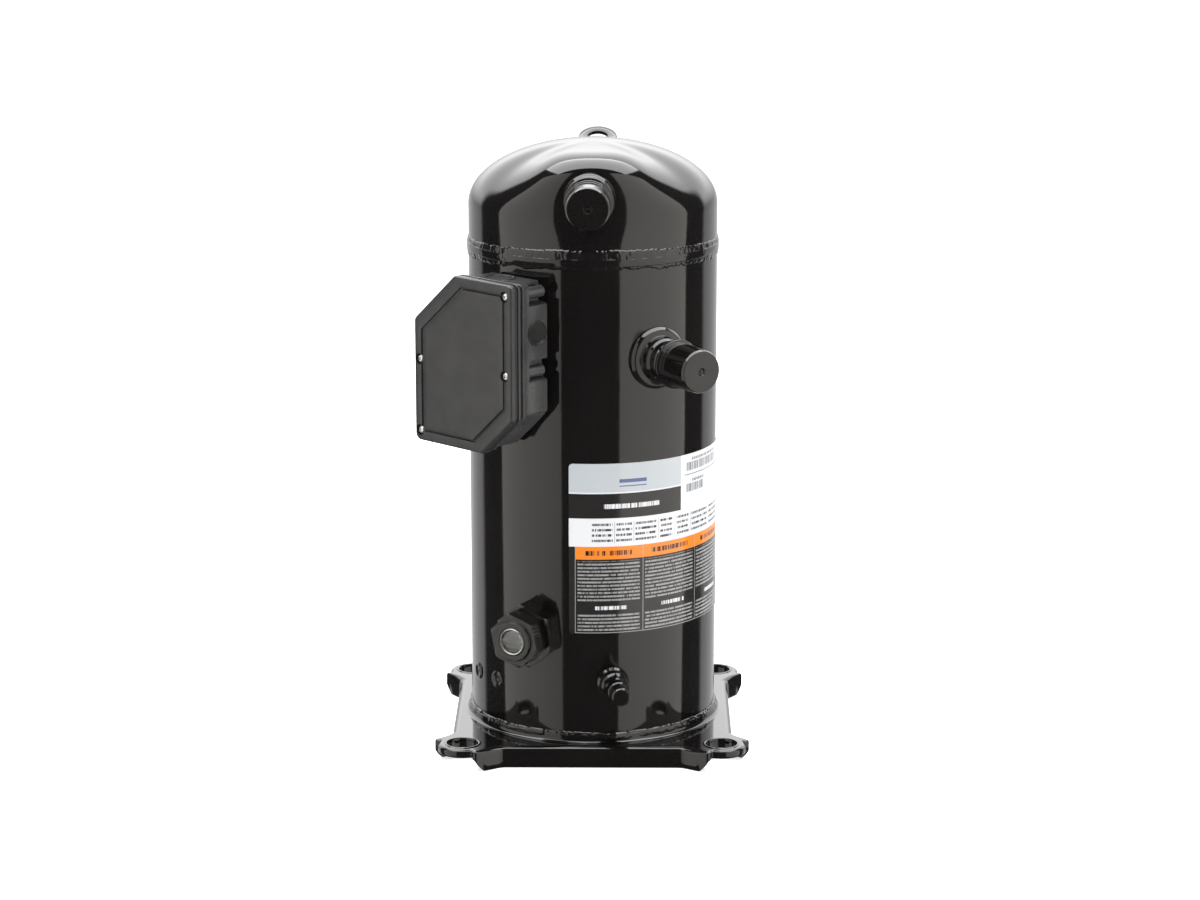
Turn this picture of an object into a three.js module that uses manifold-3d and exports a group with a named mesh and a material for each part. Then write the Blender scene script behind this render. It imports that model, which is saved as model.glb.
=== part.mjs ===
// Hermetic scroll compressor on a stamped four-ear base, with its scroll set, motor and fittings.
// Millimetres, +Z up. The shell's axis is X = Y = 0 while building; -Y is the front.

import * as THREE from 'three';
import { mergeVertices } from 'three/addons/utils/BufferGeometryUtils.js';
import Module from 'manifold-3d';

const wasm = await Module();
wasm.setup();

// ---------------------------------------------------------------- driving dimensions

const GAP = 0.3;                     // clearance between pieces that touch
const DEGREE = Math.PI / 180;

const SHELL_RADIUS = 92.1;
const SHELL_WALL = 3.6;
const SHELL_INNER = SHELL_RADIUS - SHELL_WALL;
const SHELL_BOTTOM = 14;
const SEAM_LOW = 371;                // underside of the muffler plate
const SEAM_HIGH = 377;
const SEAM_RADIUS = 93.7;
const DOME_START = 404;              // height where the cap begins to curve
const DOME_HEIGHT = 47;
const LOWER_CAP_RIM = 34;

const HOLE_PITCH = 190.5;            // between mounting holes, both ways
const HOLE_RADIUS = 11;
const EAR_RADIUS = 18;
const PLATE_TOP = 16;
const SHEET = 4;                     // base plate thickness
const SKIRT_FACE = 104.2;            // skirt's outer face, from the axis
const SKIRT_BEND = 5;
const SKIRT_HALF = 66;               // where the skirt begins to flare
const WING_HALF = 86;                // where the flared wing ends
const WING_FLARE = 13.3;
const WING_TIP = 79;

const DISCHARGE = { azimuth: -1, height: 420.5 };
const SUCTION = { azimuth: 31, height: 303 };
const SIGHT_GLASS = { azimuth: -28, height: 97.6 };
const OIL_PORT = { azimuth: 9.5, height: 62 };
const TERMINAL = { azimuth: -44, height: 302 };

const BOX_BACK = 95.5;               // distances from the shell's axis
const BOX_FRONT = 122;
const COVER_BACK = 124.3;
const COVER_FRONT = 134;
const BOX_WALL = 2.5;

const ORBIT = 5;                     // orbit radius of the moving scroll
const WRAP_PITCH = 18;
const WRAP_THICKNESS = 3.6;
const WRAP_START = 2.2;              // involute angles, radians
const WRAP_END = 18.4;
const BOLT_CIRCLE = 76;              // scroll bolts, from the axis

// ---------------------------------------------------------------- geometry helpers

function solid(geometry) {
  const bare = geometry.index ? geometry.toNonIndexed() : geometry.clone();
  bare.deleteAttribute('normal');
  bare.deleteAttribute('uv');
  const merged = mergeVertices(bare, 1e-4);
  const corners = merged.index.array;
  const kept = [];
  for (let i = 0; i < corners.length; i += 3) {
    const [a, b, c] = [corners[i], corners[i + 1], corners[i + 2]];
    if (a !== b && b !== c && c !== a) kept.push(a, b, c);
  }
  const vertProperties = new Float32Array(merged.attributes.position.array);
  return new wasm.Manifold(new wasm.Mesh({ numProp: 3, vertProperties, triVerts: new Uint32Array(kept) }));
}

function surface(manifold) {
  const mesh = manifold.getMesh();
  const geometry = new THREE.BufferGeometry();
  geometry.setAttribute('position', new THREE.Float32BufferAttribute(mesh.vertProperties, 3));
  geometry.setIndex(Array.from(mesh.triVerts));
  return geometry;
}

function join(first, ...others) {
  return surface(others.reduce((sum, other) => sum.add(solid(other)), solid(first)));
}

function cut(first, ...tools) {
  return surface(tools.reduce((rest, tool) => rest.subtract(solid(tool)), solid(first)));
}

// A closed profile of [radius, height] pairs, turned about Z.
function lathe(profile, segments) {
  const points = profile.map(([radius, height]) => new THREE.Vector2(radius, height));
  if (profile[0][0] > 0) points.push(points[0].clone());
  return surface(solid(new THREE.LatheGeometry(points, segments).rotateX(Math.PI / 2)));
}

function tube(inner, outer, low, high, segments) {
  return lathe([[inner, low], [outer, low], [outer, high], [inner, high]], segments);
}

function cylinder(radius, low, high, segments) {
  return new THREE.CylinderGeometry(radius, radius, high - low, segments)
    .rotateX(Math.PI / 2).translate(0, 0, (low + high) / 2);
}

function box(x0, x1, y0, y1, z0, z1) {
  return new THREE.BoxGeometry(x1 - x0, y1 - y0, z1 - z0)
    .translate((x0 + x1) / 2, (y0 + y1) / 2, (z0 + z1) / 2);
}

function prism(shape, low, high, curveSegments = 8) {
  return new THREE.ExtrudeGeometry(shape, { depth: high - low, bevelEnabled: false, curveSegments })
    .translate(0, 0, low);
}

function outline(points) {
  return new THREE.Shape(points.map(([x, y]) => new THREE.Vector2(x, y)));
}

function sector(inner, outer, from, to) {
  const shape = new THREE.Shape();
  shape.absarc(0, 0, outer, from, to, false);
  shape.absarc(0, 0, inner, to, from, true);
  return shape;
}

// ---------------------------------------------------------------- scene helpers

const assembly = new THREE.Group();

const PAINT = [0x111112, 0.16, 0.3];
const STEEL = [0xa3a5a8, 0.35, 0.9];
const IRON = [0x5c5d5f, 0.6, 0.6];
const ALUMINIUM = [0xb9bcc0, 0.4, 0.85];
const BRONZE = [0xb08a4a, 0.4, 0.8];
const COPPER = [0xb5673a, 0.4, 0.6];
const PLASTIC = [0x2f3033, 0.65, 0];
const RUBBER = [0x1b1b1c, 0.85, 0];
const GLASS = [0x9aa296, 0.1, 0.1];
const PAPER = [0xdfe3e6, 0.6, 0];

function add(parent, name, geometry, [color, roughness, metalness]) {
  const mesh = new THREE.Mesh(geometry, new THREE.MeshStandardMaterial({ color, roughness, metalness }));
  mesh.name = name;
  parent.add(mesh);
  return mesh;
}

// A frame on the shell: local X runs around it, local Y is up, local Z points out from the axis.
function radialFrame({ azimuth, height }) {
  const frame = new THREE.Group();
  frame.rotation.set(Math.PI / 2, 0, azimuth * DEGREE, 'ZYX');
  frame.position.z = height;
  frame.updateMatrix();
  assembly.add(frame);
  return frame;
}

function intoFrame(geometry, frame) {
  return geometry.clone().applyMatrix4(frame.matrix.clone().invert());
}

function shellHole(frame, radius) {
  return cylinder(radius, SHELL_INNER - 14, SHELL_RADIUS + 10, 20).applyMatrix4(frame.matrix);
}

const frames = {
  discharge: radialFrame(DISCHARGE),
  suction: radialFrame(SUCTION),
  sightGlass: radialFrame(SIGHT_GLASS),
  oilPort: radialFrame(OIL_PORT),
  terminal: radialFrame(TERMINAL),
};

// Space that the shell takes up, in a radial frame.
function shellSpace() {
  return new THREE.CylinderGeometry(SHELL_RADIUS + GAP, SHELL_RADIUS + GAP, 900, 64);
}

// ---------------------------------------------------------------- shell and caps

// Filled dome, grown by a margin. Its front is boxy: the curve's exponent rises there, and dips
// between the front and each shoulder.
function dome(grow, segments = 40, steps = 8) {
  const radius = SHELL_RADIUS + grow;
  const height = DOME_HEIGHT + grow;
  const profile = [[0, SEAM_HIGH + GAP], [radius, SEAM_HIGH + GAP]];
  for (let i = 0; i < steps; i += 1) {
    const turn = (Math.PI / 2) * (1 - i / steps);
    profile.push([radius * Math.sin(turn), DOME_START + height * Math.cos(turn)]);
  }
  profile.push([0, DOME_START + height]);
  const geometry = lathe(profile, segments);
  const position = geometry.attributes.position;
  for (let i = 0; i < position.count; i += 1) {
    const [x, y, z] = [position.getX(i), position.getY(i), position.getZ(i)];
    const flat = Math.hypot(x, y);
    if (z <= DOME_START || flat < 1e-6) continue;
    const turn = Math.atan2(flat / radius, (z - DOME_START) / height);
    const power = 2 / domeExponent(Math.atan2(x, -y) / DEGREE);
    const reach = radius * Math.sin(turn) ** power / flat;
    position.setXYZ(i, x * reach, y * reach, DOME_START + height * Math.cos(turn) ** power);
  }
  return geometry;
}

function domeExponent(azimuth) {
  const bump = (centre, width) => Math.exp(-(((azimuth - centre) / width) ** 2));
  return 2 + 4.2 * bump(0, 20) - 0.35 * (bump(-45, 13) + bump(45, 13));
}

add(assembly, 'shell_tube', cut(
  tube(SHELL_INNER, SHELL_RADIUS, SHELL_BOTTOM, SEAM_LOW - GAP, 40),
  shellHole(frames.suction, 13.4),
  shellHole(frames.sightGlass, 8),
  shellHole(frames.oilPort, 3),
  shellHole(frames.terminal, 22.5),
), PAINT);

const lowerCapRadius = SHELL_INNER - GAP;
add(assembly, 'lower_shell_cap', lathe([
  [0, 3], [62, 3], [80, 8], [lowerCapRadius, 22], [lowerCapRadius, LOWER_CAP_RIM],
  [lowerCapRadius - SHELL_WALL, LOWER_CAP_RIM], [lowerCapRadius - SHELL_WALL, 23],
  [77.5, 10.6], [61, 6.6], [0, 6.6],
], 32), PAINT);

add(assembly, 'muffler_plate', tube(14, SEAM_RADIUS, SEAM_LOW, SEAM_HIGH, 40), PAINT);

add(assembly, 'top_cap', cut(
  dome(0),
  dome(-SHELL_WALL, 28, 5),
  cylinder(SHELL_INNER, SEAM_HIGH - 5, SEAM_HIGH + 5, 28),
  shellHole(frames.discharge, 9),
), PAINT);

// Lifting eye: a tab that leans back from the dome's rear shoulder.
const EYE = { x: 3, y: 75, z: 439, lean: 64, radius: 13.9, hole: 7.2, thickness: 5, foot: 30 };

const eyeFrame = new THREE.Group();
eyeFrame.position.set(EYE.x, EYE.y, EYE.z);
eyeFrame.rotation.x = (90 - EYE.lean) * DEGREE;
eyeFrame.updateMatrix();
assembly.add(eyeFrame);

function eyeOutline() {
  const shape = new THREE.Shape();
  shape.moveTo(-EYE.radius, -EYE.foot);
  shape.lineTo(EYE.radius, -EYE.foot);
  shape.absarc(0, 0, EYE.radius, 0, Math.PI, false);
  shape.holes.push(new THREE.Path().absarc(0, 0, EYE.hole, 0, 2 * Math.PI, true));
  return shape;
}

add(eyeFrame, 'lifting_eye', cut(
  prism(eyeOutline(), -EYE.thickness / 2, EYE.thickness / 2, 12),
  intoFrame(dome(GAP), eyeFrame),
), PAINT);

// ---------------------------------------------------------------- stamped base

function flare(along) {
  return WING_FLARE * Math.max(0, (Math.abs(along) - SKIRT_HALF) / (WING_HALF - SKIRT_HALF));
}

// One side of the base: an angle section swept along the skirt and out along its two wings.
function skirt() {
  const inner = SKIRT_FACE - SHEET;
  const section = new THREE.Shape();
  section.moveTo(-SKIRT_FACE, 0);
  section.lineTo(-inner, 0);
  section.lineTo(-inner, PLATE_TOP - SHEET);
  section.lineTo(-88, PLATE_TOP - SHEET);
  section.lineTo(-88, PLATE_TOP);
  section.lineTo(-SKIRT_FACE + SKIRT_BEND, PLATE_TOP);
  section.absarc(-SKIRT_FACE + SKIRT_BEND, PLATE_TOP - SKIRT_BEND, SKIRT_BEND, Math.PI / 2, Math.PI, false);
  const stations = [-WING_HALF, -SKIRT_HALF, SKIRT_HALF, WING_HALF];
  const steps = stations.length - 1;
  const geometry = new THREE.ExtrudeGeometry(section, {
    depth: steps, steps, bevelEnabled: false, curveSegments: 2,
  });
  const position = geometry.attributes.position;
  for (let i = 0; i < position.count; i += 1) {
    const along = stations[Math.round(position.getZ(i))];
    position.setXYZ(i, along, position.getX(i) - flare(along), position.getY(i));
  }
  const tips = [1, -1].map((side) => prism(outline([
    [side * WING_TIP, 0], [side * 90, 14], [side * 90, -4], [side * (WING_TIP - 2), -4],
  ]), -130, -70).rotateX(Math.PI / 2).translate(0, -200, 0));
  return cut(geometry, ...tips);
}

function plateOutline() {
  const edge = SKIRT_FACE - SKIRT_BEND;
  const wing = SKIRT_FACE + WING_FLARE - SKIRT_BEND;
  const sideLine = [[-WING_HALF, -wing], [-SKIRT_HALF, -edge], [SKIRT_HALF, -edge], [WING_HALF, -wing]];
  const points = [];
  for (let side = 0; side < 4; side += 1) {
    const turn = side * Math.PI / 2;
    for (const [x, y] of sideLine) {
      points.push([x * Math.cos(turn) - y * Math.sin(turn), x * Math.sin(turn) + y * Math.cos(turn)]);
    }
  }
  return outline(points);
}

function eachEar(make) {
  const half = HOLE_PITCH / 2;
  return [[-1, -1], [1, -1], [1, 1], [-1, 1]].map(([x, y]) => make().translate(x * half, y * half, 0));
}

const collarRadius = SHELL_RADIUS + GAP;
const plate = join(
  prism(plateOutline(), PLATE_TOP - SHEET, PLATE_TOP),
  ...eachEar(() => cylinder(EAR_RADIUS, PLATE_TOP - SHEET, PLATE_TOP, 20)),
  ...eachEar(() => cylinder(HOLE_RADIUS + 3.5, PLATE_TOP - 7, PLATE_TOP - 1, 16)),
  ...[0, 1, 2, 3].map((side) => skirt().rotateZ(side * Math.PI / 2)),
  cylinder(collarRadius + 3.6, PLATE_TOP - SHEET, PLATE_TOP + 6, 40),
);
add(assembly, 'base_plate', cut(
  plate,
  cylinder(collarRadius + 0.2, -5, 40, 40),
  ...eachEar(() => cylinder(HOLE_RADIUS, -5, 40, 16)),
), PAINT);

// ---------------------------------------------------------------- discharge and suction stubs

// Profiles hold [radius, distance from the shell's axis].
const STUB_NECK = 12.9;
const STUB_BORE = 9.8;

// A hollow shipping cap over a stub, from the back of its flange to its face.
function plug(back, face) {
  return lathe([
    [0, face - 3], [STUB_NECK + GAP, face - 3], [STUB_NECK + GAP, back],
    [18, back], [18, back + 3.5], [16, back + 5], [16, face - 4], [12.6, face], [0, face],
  ], 24);
}

const DISCHARGE_END = 120;
const SUCTION_END = 140;

add(frames.discharge, 'discharge_fitting', cut(
  lathe([
    [STUB_BORE, 84], [18.5, 84], [18.5, 95.5], [16.5, 98], [STUB_NECK, 98.5],
    [STUB_NECK, DISCHARGE_END], [STUB_BORE, DISCHARGE_END],
  ], 24),
  intoFrame(dome(GAP), frames.discharge),
), PAINT);
add(frames.discharge, 'discharge_plug', plug(103.5, 138), PAINT);

add(frames.suction, 'suction_fitting', cut(
  lathe([
    [STUB_BORE, 88.6], [STUB_NECK, 88.6], [13, 84], [25.5, 84], [25.5, 93], [22, 97], [20.5, 98.5], [20.5, 103],
    [17, 106], [STUB_NECK, 107], [STUB_NECK, SUCTION_END], [STUB_BORE, SUCTION_END],
  ], 24),
  cut(shellSpace(), cylinder(STUB_NECK, 0, 200, 24)),
), PAINT);
add(frames.suction, 'suction_plug', plug(124, 152), PAINT);
add(frames.suction, 'suction_screen', lathe([
  [0, 92], [8.9, 92], [8.9, 112], [7.9, 112], [7.9, 93], [0, 93],
], 14), STEEL);

// ---------------------------------------------------------------- sight glass

add(frames.sightGlass, 'sight_glass_boss', cut(
  new THREE.CylinderGeometry(24, 24, 36, 6).rotateX(Math.PI / 2).rotateZ(8 * DEGREE).translate(0, 0, 88),
  cylinder(9, 60, 120, 18),
  shellSpace(),
), PAINT);
add(frames.sightGlass, 'sight_glass_nut', cut(
  join(
    new THREE.CylinderGeometry(20.5, 20.5, 14.7, 6).rotateX(Math.PI / 2).rotateZ(12 * DEGREE)
      .translate(0, 0, 113.65),
    cylinder(14.5, 120, 123.5, 24),
    cylinder(8.6, 96, 108, 16),
  ),
  cylinder(6, 90, 130, 16),
  cylinder(10.3, 119, 130, 20),
), PAINT);
add(frames.sightGlass, 'sight_glass_lens', cylinder(10, 119.3, 124.5, 20), GLASS);

// ---------------------------------------------------------------- oil service port

add(frames.oilPort, 'oil_port_fitting', cut(
  join(
    lathe([[0, 84], [10, 84], [10, 96], [8.5, 98], [8.5, 103.5], [6, 105], [0, 105]], 18),
    new THREE.CylinderGeometry(8.3, 8.3, 10, 6).rotateX(Math.PI / 2).translate(0, 0, 109.5),
    cylinder(4, 110, 122, 14),
  ),
  cylinder(2, 70, 130, 10),
  shellSpace(),
), PAINT);
add(frames.oilPort, 'oil_port_cap', lathe([
  [0, 124], [4.3, 124], [4.3, 115], [6.2, 115], [6.2, 119], [5.6, 120], [5.6, 130], [4.6, 132], [0, 132],
], 16), PAINT);
add(frames.oilPort, 'valve_core_pin', cylinder(1.2, 108, 121, 12), BRONZE);

// ---------------------------------------------------------------- terminal box

// Outline of the box seen from outside, shrunk by a margin: [around the shell, height].
function boxOutline(inset) {
  const [left, right, low, high] = [-51 + inset, 51 - inset, 238 + inset, 365 - inset];
  return outline([
    [left, low], [right - 32, low], [right, low + 28], [right, high],
    [left + 42, high], [left, high - 36],
  ].map(([across, up]) => [across, up - TERMINAL.height]));
}

const SCREW_SPOTS = [[43.5, 356], [43.5, 298.5], [-45.5, 246], [-45.5, 299]];
const FENCE_OUTER = 28.5;

function eachScrew(make) {
  return SCREW_SPOTS.map(([across, up]) => make().translate(across, up - TERMINAL.height, 0));
}

// Steps in the box's right side: [low, high, depth].
const SIDE_STEPS = [[348, 370, 9], [293, 307, 4], [230, 268, 2.5]];

function sideSteps(margin) {
  return SIDE_STEPS.map(([low, high, depth]) => box(
    49 - depth - margin, 60,
    low - margin - TERMINAL.height, high + margin - TERMINAL.height,
    90, BOX_FRONT - 8,
  ));
}

const SIDE_KNOCKOUT = { height: 327 - TERMINAL.height, reach: 107, radius: 10.5 };
const TOP_KNOCKOUT = { across: 14, reach: 109, radius: 11.5 };
const boxTop = 365 - 2 - TERMINAL.height;

add(frames.terminal, 'terminal_housing', cut(
  join(
    cut(
      prism(boxOutline(2), BOX_BACK, BOX_FRONT),
      ...sideSteps(0),
      cut(prism(boxOutline(2 + BOX_WALL), BOX_BACK + BOX_WALL, BOX_FRONT + 5), ...sideSteps(BOX_WALL)),
    ),
    ...eachScrew(() => cylinder(4.2, BOX_BACK + 1, BOX_FRONT, 10)),
  ),
  ...eachScrew(() => cylinder(2.1, 100, BOX_FRONT + 5, 8)),
  cylinder(FENCE_OUTER + GAP + 0.3, 80, 100, 24),
  cylinder(SIDE_KNOCKOUT.radius + GAP, 40, 60, 18).rotateY(Math.PI / 2)
    .translate(0, SIDE_KNOCKOUT.height, SIDE_KNOCKOUT.reach),
  cylinder(TOP_KNOCKOUT.radius + GAP, -10, 10, 18).rotateX(-Math.PI / 2)
    .translate(TOP_KNOCKOUT.across, boxTop, TOP_KNOCKOUT.reach),
), PLASTIC);

add(frames.terminal, 'knockout_side', cylinder(SIDE_KNOCKOUT.radius, 46.8, 48.4, 18).rotateY(Math.PI / 2)
  .translate(0, SIDE_KNOCKOUT.height, SIDE_KNOCKOUT.reach), PLASTIC);
add(frames.terminal, 'knockout_top', cylinder(TOP_KNOCKOUT.radius, -2.2, -0.4, 18).rotateX(-Math.PI / 2)
  .translate(TOP_KNOCKOUT.across, boxTop, TOP_KNOCKOUT.reach), PLASTIC);

add(frames.terminal, 'cover_gasket', cut(
  prism(boxOutline(2.2), BOX_FRONT + GAP, COVER_BACK - GAP),
  cut(
    prism(boxOutline(4.4), BOX_FRONT - 5, COVER_BACK + 5),
    ...eachScrew(() => cylinder(5, BOX_FRONT - 6, COVER_BACK + 6, 8)),
  ),
  ...eachScrew(() => cylinder(2.1, BOX_FRONT - 5, COVER_BACK + 5, 8)),
), RUBBER);

add(frames.terminal, 'terminal_cover', cut(
  prism(boxOutline(0), COVER_BACK, COVER_FRONT),
  cut(
    prism(boxOutline(3), COVER_BACK - 5, COVER_FRONT - 3),
    ...eachScrew(() => cylinder(6, COVER_BACK - 6, COVER_FRONT, 10)),
  ),
  ...eachScrew(() => cylinder(2.2, COVER_BACK - 5, COVER_FRONT + 5, 8)),
  ...eachScrew(() => cylinder(4, COVER_FRONT - 3.5, COVER_FRONT + 5, 12)),
), PLASTIC);

SCREW_SPOTS.forEach(([across, up], index) => {
  const screw = lathe([
    [0, 107], [1.7, 107], [1.7, COVER_FRONT - 3.2], [3, COVER_FRONT - 3.2], [3, COVER_FRONT - 1.4],
    [2.2, COVER_FRONT - 0.6], [0, COVER_FRONT - 0.4],
  ], 10);
  const mesh = add(frames.terminal, `cover_screw_${index + 1}`, screw, STEEL);
  mesh.position.set(across, up - TERMINAL.height, 0);
});

add(frames.terminal, 'terminal_fence', cut(tube(26, FENCE_OUTER, 84, 101, 24), shellSpace()), PAINT);

const PIN_CIRCLE = 9;
const pinSpots = [90, 210, 330].map((angle) => [
  PIN_CIRCLE * Math.cos(angle * DEGREE), PIN_CIRCLE * Math.sin(angle * DEGREE),
]);

add(frames.terminal, 'terminal_plate', cut(
  cylinder(22, 86, 90.5, 24),
  ...pinSpots.map(([x, y]) => cylinder(3.6, 80, 95, 12).translate(x, y, 0)),
), STEEL);

pinSpots.forEach(([x, y], index) => {
  const pin = lathe([
    [0, 77], [1.6, 77], [1.6, 85], [3.2, 86], [3.2, 90.5], [1.6, 91.5], [1.6, 104], [0, 105],
  ], 8);
  add(frames.terminal, `terminal_pin_${index + 1}`, pin, BRONZE).position.set(x, y, 0);
});

// Each lead drops from its pin through the notch in the bearing housing to the winding.
pinSpots.forEach(([x, y], index) => {
  const path = new THREE.CatmullRomCurve3([
    [x, y, 75.4], [x, y - 4, 74], [x, -20, 74.4], [x, -38, 73], [x * 0.9, -54, 67], [x * 0.8, -66, 63.5],
  ].map((point) => new THREE.Vector3(...point)));
  const section = new THREE.Shape().absarc(0, 0, 1.5, 0, 2 * Math.PI, false);
  const lead = new THREE.ExtrudeGeometry(section, { steps: 10, extrudePath: path, curveSegments: 3 });
  add(frames.terminal, `motor_lead_${index + 1}`, surface(solid(lead)), RUBBER);
});

// ---------------------------------------------------------------- scroll set

// Outline of a spiral wall between two involutes of the same base circle.
function wrapOutline() {
  const base = WRAP_PITCH / (2 * Math.PI);
  const half = WRAP_THICKNESS / (2 * base);
  const count = 64;
  const inner = [];
  const outer = [];
  for (let i = 0; i <= count; i += 1) {
    const angle = (WRAP_START ** 1.5 + (WRAP_END ** 1.5 - WRAP_START ** 1.5) * i / count) ** (2 / 3);
    const [c, s] = [Math.cos(angle), Math.sin(angle)];
    const at = (reach) => [base * (c + reach * s), base * (s - reach * c)];
    outer.push(at(angle + half));
    inner.push(at(angle - half));
  }
  return outline([...outer, ...inner.reverse()]);
}

function eachCorner(make) {
  return [0, 1, 2, 3].map((corner) => make().rotateZ(corner * Math.PI / 2));
}

const PLATE = { low: 303, high: 312.7 };           // moving scroll's plate
const LID = { low: 345, high: 358 };               // fixed scroll's plate

add(assembly, 'fixed_scroll', cut(
  join(
    cylinder(64, LID.low, LID.high, 32),
    prism(wrapOutline(), PLATE.high + 0.4, LID.low + 1),
    ...eachCorner(() => box(50, BOLT_CIRCLE, -10, 10, LID.low, LID.high)),
    ...eachCorner(() => cylinder(10, LID.low, LID.high, 16).translate(BOLT_CIRCLE, 0, 0)),
  ),
  cylinder(5, LID.low - 5, LID.high + 5, 12),
  ...eachCorner(() => cylinder(4.2, LID.low - 5, LID.high + 5, 12).translate(BOLT_CIRCLE, 0, 0)),
), IRON);

const KEY = { half: 4, inner: 46, outer: 54 };
const RING = { low: 297, high: 302 };

const orbitFrame = new THREE.Group();
orbitFrame.position.x = ORBIT;
assembly.add(orbitFrame);

add(orbitFrame, 'orbiting_scroll', cut(
  join(
    cylinder(58, PLATE.low, PLATE.high, 32),
    prism(wrapOutline(), PLATE.high - 1, LID.low - 0.4).rotateZ(Math.PI),
    cylinder(22, 264, PLATE.low + 1, 24),
  ),
  cylinder(16.8, 255, PLATE.low - GAP, 24),
  ...[1, -1].map((side) => box(
    -KEY.half - 2 * ORBIT - 0.6, KEY.half + 2 * ORBIT + 0.6,
    Math.min(side * 40.4, side * 62), Math.max(side * 40.4, side * 62), PLATE.low - 2, PLATE.low + 4,
  )),
), IRON);

add(orbitFrame, 'oldham_ring', join(
  tube(KEY.inner, KEY.outer, RING.low, RING.high, 32),
  ...[1, -1].map((side) => box(
    Math.min(side * KEY.inner, side * KEY.outer), Math.max(side * KEY.inner, side * KEY.outer),
    -KEY.half, KEY.half, RING.low - 4, RING.low + 1,
  )),
  ...[1, -1].map((side) => box(
    -KEY.half, KEY.half,
    Math.min(side * KEY.inner, side * KEY.outer), Math.max(side * KEY.inner, side * KEY.outer),
    RING.high - 1, RING.high + 4,
  )),
), ALUMINIUM);

const DECK = 296.5;
add(assembly, 'main_bearing_housing', cut(
  join(
    lathe([
      [17.9, 240], [25, 240], [28, 258], [60, 280], [88, 284], [88, DECK], [40, DECK], [40, PLATE.low - 0.4],
      [28, PLATE.low - 0.4], [28, 262.8], [17.9, 262.8],
    ], 32),
    ...eachCorner(() => cylinder(7.5, DECK - 4, LID.low - GAP, 14).translate(BOLT_CIRCLE, 0, 0)),
  ),
  ...eachCorner(() => box(70, 95, -24, 24, 270, DECK + 5).rotateZ(Math.PI / 4)),
  ...[1, -1].map((side) => box(
    Math.min(side * 40.4, side * 60), Math.max(side * 40.4, side * 60), -KEY.half - 0.4, KEY.half + 0.4,
    RING.low - 4.5, RING.low + 5,
  )),
  ...eachCorner(() => cylinder(4.1, 320, LID.low + 5, 12).translate(BOLT_CIRCLE, 0, 0)),
), IRON);

add(assembly, 'main_bearing_bush', tube(14.9, 17.5, 241, 262, 24), BRONZE);

[0, 1, 2, 3].forEach((corner) => {
  const bolt = join(
    cylinder(3.8, 322, LID.high + 1, 10),
    new THREE.CylinderGeometry(6.5, 6.5, 6, 6).rotateX(Math.PI / 2).translate(0, 0, LID.high + 3.3),
  );
  const angle = corner * Math.PI / 2;
  const mesh = add(assembly, `scroll_bolt_${corner + 1}`, bolt, STEEL);
  mesh.position.set(BOLT_CIRCLE * Math.cos(angle), BOLT_CIRCLE * Math.sin(angle), 0);
});

add(assembly, 'discharge_valve_disc', cylinder(8, LID.high + GAP, LID.high + 2, 18), STEEL);
add(assembly, 'valve_retainer', cut(
  lathe([
    [10, LID.high + GAP], [15, LID.high + GAP], [15, 369], [3, 369], [3, 366.8], [10, 366.8],
  ], 18),
  box(-20, 20, -3, 3, 360.5, 365),
  box(-3, 3, -20, 20, 360.5, 365),
), STEEL);
add(assembly, 'floating_seal', lathe([
  [24, 359], [38, 359], [38, 365], [32, 368], [29, 368], [24, 365],
], 28), IRON);

// ---------------------------------------------------------------- crankshaft and drive

add(assembly, 'crankshaft', cut(
  join(
    lathe([
      [0, 42], [9.5, 42], [9.5, 70], [12.6, 71], [12.6, 215], [14.5, 216], [14.5, 263], [0, 263],
    ], 24),
    cylinder(11.7, 262.6, 300, 24).translate(ORBIT, 0, 0),
  ),
  cylinder(2.2, 30, 310, 10),
), STEEL);

add(orbitFrame, 'drive_bushing', tube(12.1, 16.2, 265, 300, 24), BRONZE);

add(assembly, 'upper_counterweight', prism(
  sector(14.9, 34, 100 * DEGREE, 260 * DEGREE), 218, 236, 9,
), BRONZE);
add(assembly, 'lower_counterweight', prism(
  sector(12.95, 34, -80 * DEGREE, 80 * DEGREE), 88, 101, 9,
), BRONZE);

add(assembly, 'lower_bearing_housing', join(
  tube(13.5, 20, 45, 65, 20),
  tube(80, 88, 46, 54, 32),
  ...[0, 1, 2].map((arm) => box(18, 84, -8, 8, 46, 52).rotateZ((90 + arm * 120) * DEGREE)),
), IRON);
add(assembly, 'lower_bearing_bush', tube(9.9, 13, 46, 64, 20), BRONZE);
add(assembly, 'oil_pickup', lathe([
  [4.5, 41.7], [2, 12], [4, 12], [8, 36], [8, 41.7],
], 14), STEEL);

// ---------------------------------------------------------------- motor

const STACK = { low: 110, high: 205 };

add(assembly, 'rotor', join(
  tube(12.9, 42, STACK.low, STACK.high, 24),
  tube(24, 38, STACK.low - 6, STACK.high + 6, 20),
), ALUMINIUM);

function statorOutline() {
  const slots = 24;
  const [bore, root] = [43, 70];
  const shape = new THREE.Shape().absarc(0, 0, 87.5, 0, 2 * Math.PI, false);
  const points = [];
  for (let i = 0; i < slots; i += 1) {
    const centre = (i / slots) * 2 * Math.PI;
    points.push([bore, centre - 0.04], [root, centre - 0.08], [root, centre + 0.08], [bore, centre + 0.04]);
  }
  shape.holes.push(new THREE.Path(points.map(([radius, angle]) => new THREE.Vector2(
    radius * Math.cos(angle), radius * Math.sin(angle),
  ))));
  return shape;
}

add(assembly, 'stator', prism(statorOutline(), STACK.low, STACK.high, 16), STEEL);

function windingHead(low, high) {
  return lathe([
    [50, low], [78, low], [78, high - 7], [72, high], [56, high], [50, high - 7],
  ], 28);
}

add(assembly, 'upper_winding', windingHead(STACK.high + GAP, 232), COPPER);
add(assembly, 'lower_winding', windingHead(83, STACK.low - GAP), COPPER);

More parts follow.
